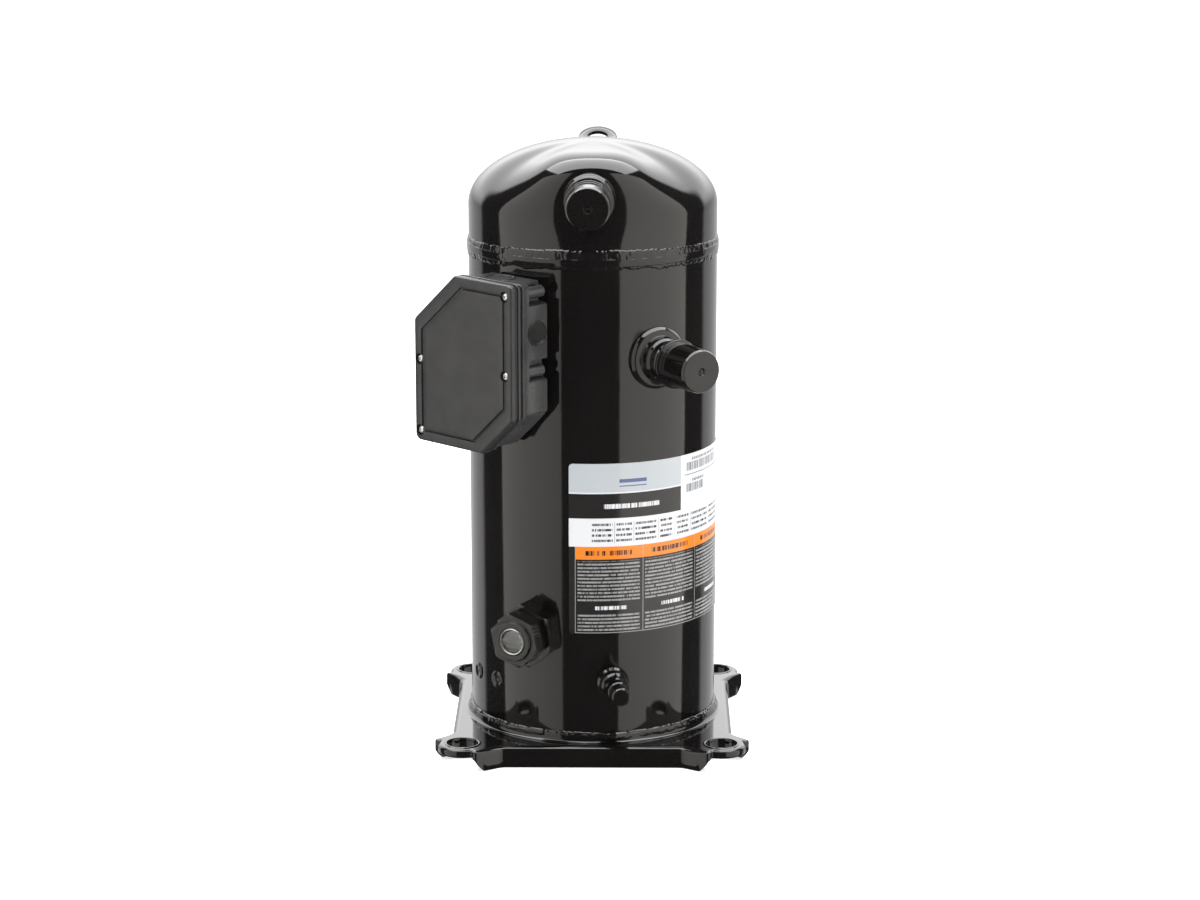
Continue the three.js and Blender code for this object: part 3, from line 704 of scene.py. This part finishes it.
def on_shell(name, mesh, place, material, **values):
    make_piece(name, *moved(mesh, radial(place)), material, **values)


def shipping_cap(back, face, *ridges):
    """A plug from back to face along its axis: hollow, with a flange, ridges and a gate mark."""
    barrel = []
    for ridge in ridges:
        barrel += [(15.8, ridge - 0.8, 0.4), (16.7, ridge - 0.5, 0.4), (16.7, ridge + 0.8, 0.4),
                   (15.8, ridge + 1.2, 0.4)]
    return turned(fillet([
        (0, face - 3), (13.2, face - 3, 0.8), (13.2, back), (17.9, back, 0.6), (17.9, back + 2.4, 1.0),
        (15.9, back + 3.2, 0.5), *barrel, (15.7, face - 2.0, 1.2),
        (14.8, face, 0.7), (2.9, face, 0.4), (2.1, face - 1.2, 0.3), (1.2, face - 1.3, 0.3),
        (0.9, face - 0.5, 0.3), (0, face - 0.5),
    ], steps=6, closed=False), 112)


def discharge():
    fitting = fillet([
        (STUB_BORE, 87.5), (18.6, 87.5), (18.6, 94.6, 1.2), (17.4, 96.0, 0.8), (17.2, 97.6, 0.8),
        (14.6, 98.4, 0.8), (14.0, 100.6, 0.8), (STUB_NECK, 101.2, 0.6),
        (STUB_NECK, 120, 0.7), (STUB_BORE, 120, 0.5),
    ])
    on_shell("discharge_stub", turned(fitting, 112), DISCHARGE, PAINT, nodes=["discharge_fitting"])
    cap = shipping_cap(103.5, 137.9, 112.5, 120.5)
    on_shell("discharge_cap", cap, DISCHARGE, PAINT,
             body="discharge_plug", nodes=["discharge_plug"])


def suction():
    fitting = fillet([
        (STUB_BORE, 88.3), (22.8, 88.3), (22.8, 93.2, 1.4), (20.8, 95.6, 1.6), (16.6, 96.8, 1.0),
        (15.8, 102.6, 1.0), (14.3, 104.6, 0.8), (13.9, 109.6, 1.0), (STUB_NECK, 111.5, 1.0),
        (STUB_NECK, 140, 0.7), (STUB_BORE, 140, 0.5),
    ])
    on_shell("suction_stub", turned(fitting, 128), SUCTION, PAINT, nodes=["suction_fitting"])
    cap = shipping_cap(117.5, 152, 124.5)
    on_shell("suction_cap", cap, SUCTION, PAINT, body="suction_plug", nodes=["suction_plug"])


# -------------------- sight glass and oil port

def sight_glass():
    boss = [hexagon(41.6, limit, height, 38) for limit, height in
            ((24.0, 86.5), (24.0, 104.6), (23.8, 105.3), (23.2, 105.8), (22.6, 106.0))]
    on_shell("sight_boss", stacked(boss), SIGHT_GLASS, PAINT, nodes=["sight_glass_boss"])
    nut = [hexagon(35.5, limit, height, 42) for limit, height in
           ((19.0, 106.3), (20.2, 106.7), (20.5, 107.2), (20.5, 120.0), (20.4, 120.5), (20.0, 120.9),
            (19.6, 121.0))]
    face = fillet([
        (15.2, 121.0), (14.7, 121.1, 0.3), (14.5, 123.5, 0.7), (10.4, 123.5, 0.3), (10.3, 119.0),
    ], steps=4, closed=False)
    nut += [circle(radius, height, 96) for radius, height in face]
    nut += [circle(8.0, 119.0, 96), circle(7.6, 112.0, 96)]
    on_shell("sight_nut", stacked(nut), SIGHT_GLASS, PAINT, nodes=["sight_glass_nut"])
    ring = fillet([
        (8.3, 119.3), (10.1, 119.3), (10.1, 123.9, 0.25), (9.4, 124.3, 0.25), (8.6, 124.0, 0.25),
        (8.3, 123.2),
    ], steps=3)
    on_shell("sight_ring", turned(ring, 96), SIGHT_GLASS, RING_STEEL, slot="machined_steel")
    lens = fillet([(0, 119.4), (8.1, 119.4, 0.3), (8.1, 123.3, 0.4), (0, 123.7)], steps=4, closed=False)
    on_shell("sight_window", turned(lens, 96), SIGHT_GLASS, GLASS,
             nodes=["sight_glass_lens"], slot="sight_glass")


def oil_port():
    sides = 72
    base = fillet([
        (0, 88), (12.0, 88), (12.0, 94.6, 1.4), (10.3, 96.8, 0.9), (10.0, 102.6, 0.9), (8.6, 104.2, 0.5),
    ], steps=5, closed=False)
    rows = [circle(radius, height, sides) for radius, height in base if radius > 0]
    rows += [hexagon(17.0, limit, height, 30, sides) for limit, height in
             ((8.7, 104.4), (9.6, 105.0), (9.6, 113.6), (8.6, 114.4))]
    tip = fillet([
        (4.2, 114.5), (4.0, 114.7), (4.0, 122, 0.5), (2.1, 122, 0.3), (2.1, 119),
    ], steps=4, closed=False)
    rows += [circle(radius, height, sides) for radius, height in tip]
    on_shell("oil_port_body", stacked(rows), OIL_PORT, PAINT, nodes=["oil_port_fitting"])
    cap = fillet([
        (0, 124), (4.3, 124), (4.3, 115), (7.8, 115, 0.4), (7.8, 118.6, 0.7), (6.9, 119.6, 0.4),
        (6.9, 130.6, 0.9), (5.9, 132, 0.6), (0, 132),
    ], steps=5, closed=False)
    on_shell("oil_port_cover", turned(cap, sides), OIL_PORT, PAINT,
             body="oil_port_cap", nodes=["oil_port_cap"])


# -------------------- terminal box

BOX_LEFT, BOX_RIGHT, BOX_LOW, BOX_HIGH = -51.0, 51.0, 238.0, 365.0
# Recesses in the box's right side: low edge, high edge, depth.
SIDE_STEPS = ((348.0, 372.0, 9.0), (293.0, 307.0, 5.5), (230.0, 268.0, 2.2))
SIDE_DISC = Matrix.Translation((49, 327 - TERMINAL[1], 106.3)) @ Matrix.Rotation(math.pi / 2, 4, "Y")


def box_outline(inset, radius, level, stepped=0.0):
    """The box's outline from outside, shrunk by an inset; stepped presses the right side's recesses in."""
    left, right, low, high = BOX_LEFT + inset, BOX_RIGHT - inset, BOX_LOW + inset, BOX_HIGH - inset
    corners = [(left, low), (right - 32, low), (right, low + 28), (right, high), (left + 42, high),
               (left, high - 36)]
    arcs = 7
    path = fillet([(x, y, radius) for x, y in corners], steps=arcs - 1)
    parts = (14, 8, 110, 14, 8, 14)
    loop = []
    for side, count in enumerate(parts):
        loop += path[side * arcs:(side + 1) * arcs]
        a, b = path[(side + 1) * arcs - 1], path[(side + 1) * arcs % len(path)]
        loop += [(a[0] + (b[0] - a[0]) * k / count, a[1] + (b[1] - a[1]) * k / count)
                 for k in range(1, count)]
    result = []
    for x, y in loop:
        press = max(depth * smooth((y - start) / 1.6 + 0.5) * smooth((end - y) / 1.6 + 0.5)
                    for start, end, depth in SIDE_STEPS)
        limit = right - press * stepped
        result.append((min(x, limit), y - TERMINAL[1], level))
    return result


def terminal_box():
    corner = 4.5
    outside = [
        (3.4, BOX_BACK, 1), (2.5, BOX_BACK + 0.4, 1), (2.0, BOX_BACK + 1.4, 1), (2.0, 111.4, 1),
        (2.0, 112.4, 0.85), (2.0, 113.4, 0.15), (2.0, 114.4, 0), (2.0, 117.6, 0), (1.9, 118.0, 0),
        (1.2, 118.4, 0), (0.9, 119.0, 0), (0.9, BOX_FRONT - 0.6, 0), (1.3, BOX_FRONT - 0.1, 0),
        (1.8, BOX_FRONT, 0),
    ]
    inside = [
        (4.2, BOX_FRONT, 0), (4.5, BOX_FRONT - 0.3, 0), (4.5, 116.4, 0), (4.5, 115.0, 0.2), (4.5, 113.6, 1),
        (4.5, BOX_BACK + 3.0, 1), (5.0, BOX_BACK + 2.5, 1),
    ]
    loops = [box_outline(inset, corner, level, stepped) for inset, level, stepped in outside + inside]
    hole = turned([(0, 90), (29.1, 90), (29.1, 100), (0, 100)], 64)
    pocket = moved(turned([(0, -1.7), (9.4, -1.7), (9.4, 4), (0, 4)], 72), SIDE_DISC)
    tray = carved(stacked(loops), hole, pocket)
    post = turned(fillet([(2.1, 97.6), (4.4, 97.6), (4.2, BOX_FRONT, 0.4), (2.1, BOX_FRONT, 0.3)]), 32)
    posts = [shift(post, x, y - TERMINAL[1]) for x, y in SCREW_SPOTS]
    on_shell("terminal_tray", merged(tray, *posts), TERMINAL, BOX_PLASTIC_PAINTED_LIGHT,
             nodes=["terminal_housing"], slot="black_plastic")
    knockouts()
    band = [box_outline(inset, corner, level) for inset, level in
            ((2.2, 122.3), (2.0, 122.6), (2.0, 123.7), (2.2, 124.0), (4.4, 124.0), (4.4, 122.3))]
    on_shell("gasket_band", skinned(band, wrap=True), TERMINAL, RUBBER, nodes=["cover_gasket"], slot="rubber")
    fence = fillet([(26, 88), (28.5, 88), (28.5, 101, 0.8), (26, 101, 0.8)], steps=3)
    on_shell("terminal_collar", turned(fence, 96), TERMINAL, PAINT, nodes=["terminal_fence"])


def knockouts():
    side = fillet([(0, -1.6), (9.3, -1.6), (9.3, 0.7, 0.3), (8.5, 0.7, 0.3), (8.1, -0.8, 0.4), (0, -0.2)],
                  steps=4, closed=False)
    on_shell("side_knockout", moved(turned(side, 72), SIDE_DISC), TERMINAL, GLOSS_PLASTIC,
             nodes=["knockout_side"], slot="black_plastic")
    top = fillet([(0, -1.6), (11.6, -1.6), (11.6, 0.5, 0.5), (10.2, 0.5, 0.5), (9.9, -0.4, 0.3), (0, -0.4)],
                 steps=4, closed=False)
    face = Matrix.Translation((14, 363 - TERMINAL[1], 109)) @ Matrix.Rotation(-math.pi / 2, 4, "X")
    on_shell("top_knockout", moved(turned(top, 72), face), TERMINAL, GLOSS_PLASTIC,
             nodes=["knockout_top"], slot="black_plastic")


def box_cover():
    corner = 5.0
    shape = [
        (3.0, 131.0), (3.0, COVER_BACK), (0.5, COVER_BACK), (0.1, 124.6), (0.0, 125.0), (0.0, 126.4),
        (0.2, 126.8), (1.3, 127.0), (1.5, 127.4), (1.5, 128.0), (1.3, 128.4), (0.3, 128.6), (0.1, 129.0),
        (0.1, 131.8),
        (0.35, 132.7), (0.7, 133.4), (1.2, 133.8), (1.9, COVER_FRONT), (7.2, COVER_FRONT), (7.5, 133.9),
        (7.7, 133.4), (7.8, 132.5), (8.2, 132.2), (8.8, 132.2), (9.0, 132.5), (9.1, 133.3), (9.3, 133.7),
        (9.7, 133.85), (14.0, 133.85),
    ]
    loops = [box_outline(inset, max(corner - inset * 0.3, 1.5), level) for inset, level in shape]
    well = turned([(0, 130.6), (4.0, 130.6), (4.3, 137), (0, 137)], 40)
    recess = [shift(well, x, y - TERMINAL[1]) for x, y in SCREW_SPOTS]
    boss = turned(fillet([(2.2, COVER_BACK), (6, COVER_BACK, 0.3), (6, 131.5), (2.2, 131.5)]), 32)
    bosses = [shift(boss, x * 0.985, y - TERMINAL[1]) for x, y in SCREW_SPOTS]
    on_shell("box_cover", merged(carved(stacked(loops), *recess), *bosses), TERMINAL, COVER_PLASTIC,
             body="terminal_cover", nodes=["terminal_cover"], slot="black_plastic")
    head = fillet([
        (0, 107), (1.4, 107, 0.4), (1.7, 108.5), (1.7, 130.8), (3.1, 130.8, 0.3), (3.1, 132.3, 0.7),
        (2.0, 133.2, 0.8), (0, 133.4),
    ], steps=5, closed=False)
    bar = ((-0.42, -1.7), (0.42, -1.7), (0.42, 1.7), (-0.42, 1.7))
    slot = [[(x * across, y * across, z) for x, y in bar] for z, across in ((132.0, 0.7), (134.0, 1.1))]
    crossed = [[(-y, x, z) for x, y, z in loop] for loop in slot]
    screw = carved(turned(head, 40), stacked(slot), stacked(crossed))
    for index, (x, y) in enumerate(SCREW_SPOTS, 1):
        turn = Matrix.Rotation(math.radians(37 * index), 4, "Z")
        on_shell(f"box_screw_{index}", shift(moved(screw, turn), x, y - TERMINAL[1]), TERMINAL, ZINC,
                 body="terminal_cover", nodes=[f"cover_screw_{index}"], slot="zinc_steel")


# -------------------- nameplate

LABEL_LEFT, LABEL_RIGHT, LABEL_LOW, LABEL_HIGH = -10.4, 88.5, 99.0, 227.0     # degrees, millimetres
LABEL_SPLIT = 165.0                                                            # white above, black below
COLUMNS = (-7.5, 23.8, 54.7, 86.0)


def nameplate():
    inner, outer, corner = 92.35, 92.72, 3.0
    scale = math.radians(1) * outer
    width = (LABEL_RIGHT - LABEL_LEFT) * scale
    rounding = [corner * (1 - math.cos(math.pi / 2 * k / 6)) for k in range(7)]
    across = rounding + [corner + (width - 2 * corner) * k / 90 for k in range(1, 90)]
    across += [width - u for u in rounding[::-1]]
    loops = []
    for u in across:
        near = corner - min(u, width - u, corner)
        cut = corner - math.sqrt(corner ** 2 - near ** 2)
        low, high = LABEL_LOW + cut, LABEL_HIGH - cut
        heading = math.radians(LABEL_LEFT + u / scale)
        levels = [low + (high - low) * k / 12 for k in range(13)]
        front = [(outer * math.sin(heading), -outer * math.cos(heading), z) for z in levels]
        back = [(inner * math.sin(heading), -inner * math.cos(heading), z) for z in levels[::-1]]
        loops.append(front + back)
    make_piece("nameplate_sheet", *stacked(loops), label_print(),
               nodes=["nameplate_label"], slot="label_film")


def label_print():
    """Nameplate print: plain zones and rules, with unreadable dashes where a real one has words."""
    material, tree, shader = blank_material("nameplate_print")

    def calc(operation, *values):
        made = node(tree, "ShaderNodeMath", operation=operation)
        for socket, value in zip(made.inputs, values):
            if isinstance(value, (int, float)):
                socket.default_value = value
            else:
                tree.links.new(value, socket)
        return made.outputs[0]

    def span(value, low, high):
        return calc("COMPARE", value, (low + high) / 2, (high - low) / 2)

    def zone(left, right, low, high):
        return calc("MULTIPLY", span(across, left, right), span(up, low, high))

    def dashes(low, pitch, share, grain, fill, seed):
        """Rows of dashes: share of the pitch is inked, and noise breaks each row into words."""
        level = calc("DIVIDE", calc("SUBTRACT", up, low), pitch)
        place = node(tree, "ShaderNodeCombineXYZ", Z=seed)
        tree.links.new(calc("MULTIPLY", across, grain), place.inputs["X"])
        tree.links.new(calc("MULTIPLY", calc("FLOOR", level), 7.31), place.inputs["Y"])
        words = node(tree, "ShaderNodeTexNoise", Scale=1.0, Detail=4.0, Roughness=0.75)
        tree.links.new(place.outputs[0], words.inputs["Vector"])
        return calc("MULTIPLY", calc("LESS_THAN", calc("FRACT", level), share),
                    calc("LESS_THAN", words.outputs["Fac"], fill))

    def paint(colour, tone, *masks):
        mask = masks[0]
        for other in masks[1:]:
            mask = calc("MULTIPLY", mask, other)
        made = node(tree, "ShaderNodeMix", data_type="RGBA")
        tree.links.new(mask, made.inputs[0])
        tree.links.new(colour, made.inputs[6])
        made.inputs[7].default_value = (*tone, 1)
        return made.outputs[2]

    white, silver, black = (0.47, 0.48, 0.50), (0.31, 0.33, 0.35), (0.012, 0.011, 0.011)
    orange, ink, slate, pale = (0.56, 0.15, 0.014), (0.035, 0.035, 0.04), (0.06, 0.08, 0.17), grey(0.20)

    where = node(tree, "ShaderNodeTexCoord")
    apart = node(tree, "ShaderNodeSeparateXYZ")
    tree.links.new(where.outputs["Object"], apart.inputs[0])
    heading = calc("ARCTAN2", calc("SUBTRACT", apart.outputs["X"], AXIS.x),
                   calc("SUBTRACT", AXIS.y, apart.outputs["Y"]))
    across = calc("MULTIPLY", heading, 180 / math.pi)
    up = calc("MULTIPLY", apart.outputs["Z"], 1000.0)

    colour = ramp(tree, object_noise(tree, 60, 2), [(0.3, grey(0.011)), (0.7, grey(0.014))])
    colour = paint(colour, white, span(up, LABEL_SPLIT, LABEL_HIGH + 1))
    colour = paint(colour, silver, zone(LABEL_LEFT - 1, 44.6, 205.6, LABEL_HIGH + 1))
    colour = paint(colour, black, zone(LABEL_LEFT - 1, 44.6, 186.2, 204.6))
    # Header: a plain bar and a thin rule. Dark band: pale dashes.
    colour = paint(colour, slate, zone(12.5, 25.5, 212.5, 215.2))
    colour = paint(colour, slate, zone(12.5, 25.5, 209.6, 210.4))
    colour = paint(colour, white, zone(5.5, 32.0, 193.4, 196.8),
                   dashes(193.4, 3.4, 1.0, 1.15, 0.53, 3.0))
    # Table: rules and dashes.
    for left, right in ((0.0, 9.5), (11.0, 18.5), (20.0, 30.5), (32.5, 39.5), (42.0, 50.0), (52.0, 66.0),
                        (68.0, 84.0)):
        colour = paint(colour, ink, zone(left, right, 168.6, 182.8),
                       dashes(168.6, 4.0, 0.45, 2.1, 0.53, left))
    for left in (10.2, 19.2, 31.4, 40.8, 51.0, 67.0):
        colour = paint(colour, pale, zone(left, left + 0.25, 167.6, 183.6))
    # Codes at the right of the header: two blocks of bars with dashes above.
    for low, right in ((214.5, 76.0), (198.5, 62.0)):
        bars = node(tree, "ShaderNodeTexNoise", Scale=1.0, Detail=3.0, noise_dimensions="1D")
        tree.links.new(calc("MULTIPLY", across, 1.9), bars.inputs["W"])
        colour = paint(colour, ink, zone(48.0, right, low, low + 6.2),
                       calc("LESS_THAN", bars.outputs["Fac"], 0.5))
        colour = paint(colour, ink, zone(52.0, right, low + 7.4, low + 10.0),
                       dashes(low + 7.4, 2.6, 0.8, 1.5, 0.5, right))
    colour = paint(colour, ink, zone(47.0, 90.0, 211.4, 211.9))
    # Orange band, then the fine print in three columns with a heavier row low in each.
    colour = paint(colour, orange, zone(COLUMNS[0], COLUMNS[3], 155.4, LABEL_SPLIT))
    for left, right in zip(COLUMNS, COLUMNS[1:]):
        colour = paint(colour, black, zone(left + 4.5, right - 5.0, 158.3, 161.9),
                       dashes(158.3, 3.6, 1.0, 1.4, 0.52, left))
        for low, high, seed in ((124.0, 154.0, right), (101.5, 114.2, left)):
            colour = paint(colour, pale, zone(left + 1.0, right - 1.6, low, high),
                           dashes(low, 2.7, 0.5, 1.9, 0.56, seed))
        colour = paint(colour, white, zone(left + 9.0, right - 8.0, 117.2, 120.0),
                       dashes(117.2, 2.8, 1.0, 1.3, 0.53, right))
    for line in COLUMNS:
        colour = paint(colour, pale, zone(line - 0.15, line + 0.15, 99.9, LABEL_SPLIT))
    colour = paint(colour, pale, zone(COLUMNS[0], COLUMNS[3], 99.7, 100.2))
    tree.links.new(colour, shader.inputs["Base Color"])
    tree.links.new(ramp(tree, object_noise(tree, 80, 3), [(0.3, grey(0.10)), (0.7, grey(0.16))]),
                   shader.inputs["Roughness"])
    shader.inputs["IOR"].default_value = 1.5
    bumps(tree, shader, [(object_noise(tree, 14, 1), 0.25, 0.0006)])
    return material


# -------------------- pieces kept from the CAD

def finish_inner_parts():
    """Everything sealed inside keeps its CAD shape and gets its own finish."""
    kept = {
        STEEL: ["crankshaft", "discharge_valve_disc", "valve_retainer", "oil_pickup", "suction_screen",
                "terminal_plate", *[f"scroll_bolt_{n}" for n in (1, 2, 3, 4)]],
        LAMINATION: ["stator"],
        IRON: ["fixed_scroll", "orbiting_scroll", "main_bearing_housing", "lower_bearing_housing",
               "floating_seal"],
        ALUMINIUM: ["oldham_ring", "rotor"],
        BRONZE: ["main_bearing_bush", "lower_bearing_bush", "drive_bushing", "upper_counterweight",
                 "lower_counterweight", "valve_core_pin", *[f"terminal_pin_{n}" for n in (1, 2, 3)]],
        COPPER: ["upper_winding", "lower_winding"],
        RUBBER: ["motor_protector", *[f"motor_lead_{n}" for n in (1, 2, 3)]],
    }
    for material, names in kept.items():
        for name in names:
            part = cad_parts[name]
            if not part.material_slots:
                part.data.materials.append(material)
            for place in part.material_slots:
                place.material = material


# -------------------- studio

CAMERA_PLACE = (25.19, -2554.9, 812.74)       # millimetres from the shell's axis
CAMERA_PITCH = 0.2295                         # radians below level
CAMERA_YAW = 0.0078
FOCAL_LENGTH = 104.87
SENSOR_WIDTH = 36

# Radiance of the softboxes and of the studio walls that only reflections see.
SIDE_LIGHT = 2.3
TOP_LIGHT = 6.5
FRONT_FILL = 0.07
BACK_LOW = 0.9
BACK_HIGH = 2.8
WARM = (1.0, 0.97, 0.91)                      # colour of the side softboxes

# Studio sizes, in metres.
FLOOR_RADIUS = 14
FLOOR_DROP = 0.0002                           # keeps the floor just clear of the base
SIDE_DISTANCE, SIDE_LOW, SIDE_HIGH = 1.5, -1.0, 1.75
TOP_SHIFT, TOP_HEIGHT, TOP_WIDE, TOP_LONG = 0.14, 2.0, 3.0, 2.2


def studio_camera():
    lens = bpy.data.cameras.new("camera")
    lens.lens = FOCAL_LENGTH
    lens.sensor_width = SENSOR_WIDTH
    camera = bpy.data.objects.new("camera", lens)
    camera.location = Vector(CAMERA_PLACE) * MM + AXIS
    camera.rotation_euler = (math.pi / 2 - CAMERA_PITCH, 0, CAMERA_YAW)
    bpy.context.scene.collection.objects.link(camera)
    bpy.context.scene.camera = camera


def studio_floor():
    place = (0, 0, cad_box[0].z - FLOOR_DROP)
    bpy.ops.mesh.primitive_circle_add(vertices=96, radius=FLOOR_RADIUS, fill_type="NGON", location=place)
    floor = bpy.context.object
    floor.name = "studio_floor"
    floor.data.materials.append(painted_floor())
    floor.visible_glossy = False
    floor.visible_shadow = False


def softbox(name, place, target, width, height, radiance, colour=(1, 1, 1), fade=None):
    """A flat rectangular light aimed at a point; fade dims it towards one side and towards its foot."""
    light = bpy.data.lights.new(name, "AREA")
    light.shape = "RECTANGLE"
    light.size, light.size_y = width, height
    light.color = colour
    light.energy = radiance * width * height * math.pi
    if fade:
        light.use_nodes = True
        tree = light.node_tree
        where = node(tree, "ShaderNodeNewGeometry")
        apart = node(tree, "ShaderNodeSeparateXYZ")
        tree.links.new(where.outputs["Parametric"], apart.inputs[0])
        sideways = ramp(tree, apart.outputs["X"], [(0.0, grey(fade[0])), (1.0, grey(fade[1]))])
        upward = ramp(tree, apart.outputs["Y"], [(0.0, grey(fade[2])), (1.0, grey(fade[3]))])
        both = node(tree, "ShaderNodeMath", operation="MULTIPLY")
        tree.links.new(sideways, both.inputs[0])
        tree.links.new(upward, both.inputs[1])
        tree.links.new(both.outputs[0], tree.nodes["Emission"].inputs["Strength"])
    box = bpy.data.objects.new(name, light)
    box.location = place
    box.rotation_euler = (Vector(target) - Vector(place)).to_track_quat("-Z", "Y").to_euler()
    bpy.context.scene.collection.objects.link(box)


def studio_lights():
    middle = (SIDE_LOW + SIDE_HIGH) / 2
    tall = SIDE_HIGH - SIDE_LOW
    for name, azimuth, width, fade in (("softbox_left", -59.5, 1.84, (0.9, 0.55, 0.7, 1.0)),
                                       ("softbox_right", 58.5, 2.04, (0.75, 1.0, 0.7, 1.0))):
        heading = math.radians(azimuth)
        across, ahead = SIDE_DISTANCE * math.sin(heading), SIDE_DISTANCE * math.cos(heading)
        place = (AXIS.x + across, AXIS.y - ahead, middle)
        softbox(name, place, (AXIS.x, AXIS.y, middle), width, tall, SIDE_LIGHT, WARM, fade)
    above, below = [(AXIS.x, AXIS.y + TOP_SHIFT, z) for z in (TOP_HEIGHT, 0.0)]
    softbox("softbox_top", above, below, TOP_WIDE, TOP_LONG, TOP_LIGHT)


def studio_world():
    """White to the eye; in reflections a dim studio in front and a white sweep behind and above."""
    world = bpy.data.worlds.new("studio")
    bpy.context.scene.world = world
    world.use_nodes = True
    tree = world.node_tree
    backdrop = tree.nodes["Background"]
    where = node(tree, "ShaderNodeTexCoord")
    apart = node(tree, "ShaderNodeSeparateXYZ")
    tree.links.new(where.outputs["Generated"], apart.inputs[0])
    sweep = ramp(tree, apart.outputs["Z"], [(0.0, grey(BACK_LOW)), (0.25, grey(BACK_HIGH))])
    behind = ramp(tree, apart.outputs["Y"], [(0.50, grey(0)), (0.58, grey(1))])
    dim = node(tree, "ShaderNodeMix", data_type="RGBA")
    tree.links.new(behind, dim.inputs[0])
    dim.inputs[6].default_value = (*grey(FRONT_FILL), 1)
    tree.links.new(sweep, dim.inputs[7])
    path = node(tree, "ShaderNodeLightPath")
    seen = node(tree, "ShaderNodeMix", data_type="RGBA")
    tree.links.new(path.outputs["Is Camera Ray"], seen.inputs[0])
    tree.links.new(dim.outputs[2], seen.inputs[6])
    seen.inputs[7].default_value = (1, 1, 1, 1)
    tree.links.new(seen.outputs[2], backdrop.inputs["Color"])


# -------------------- build

studio_camera()
for build in (shell, bottom_dish, seam_plate, dome_cap, welds, plug_welds, lifting_lug, stamped_base,
              discharge, suction, sight_glass, oil_port, terminal_box, box_cover, nameplate,
              finish_inner_parts):
    build()
studio_floor()
studio_world()
studio_lights()
bpy.context.scene.view_settings.view_transform = "Standard"


def corners(box):
    return [list(corner) for corner in box]
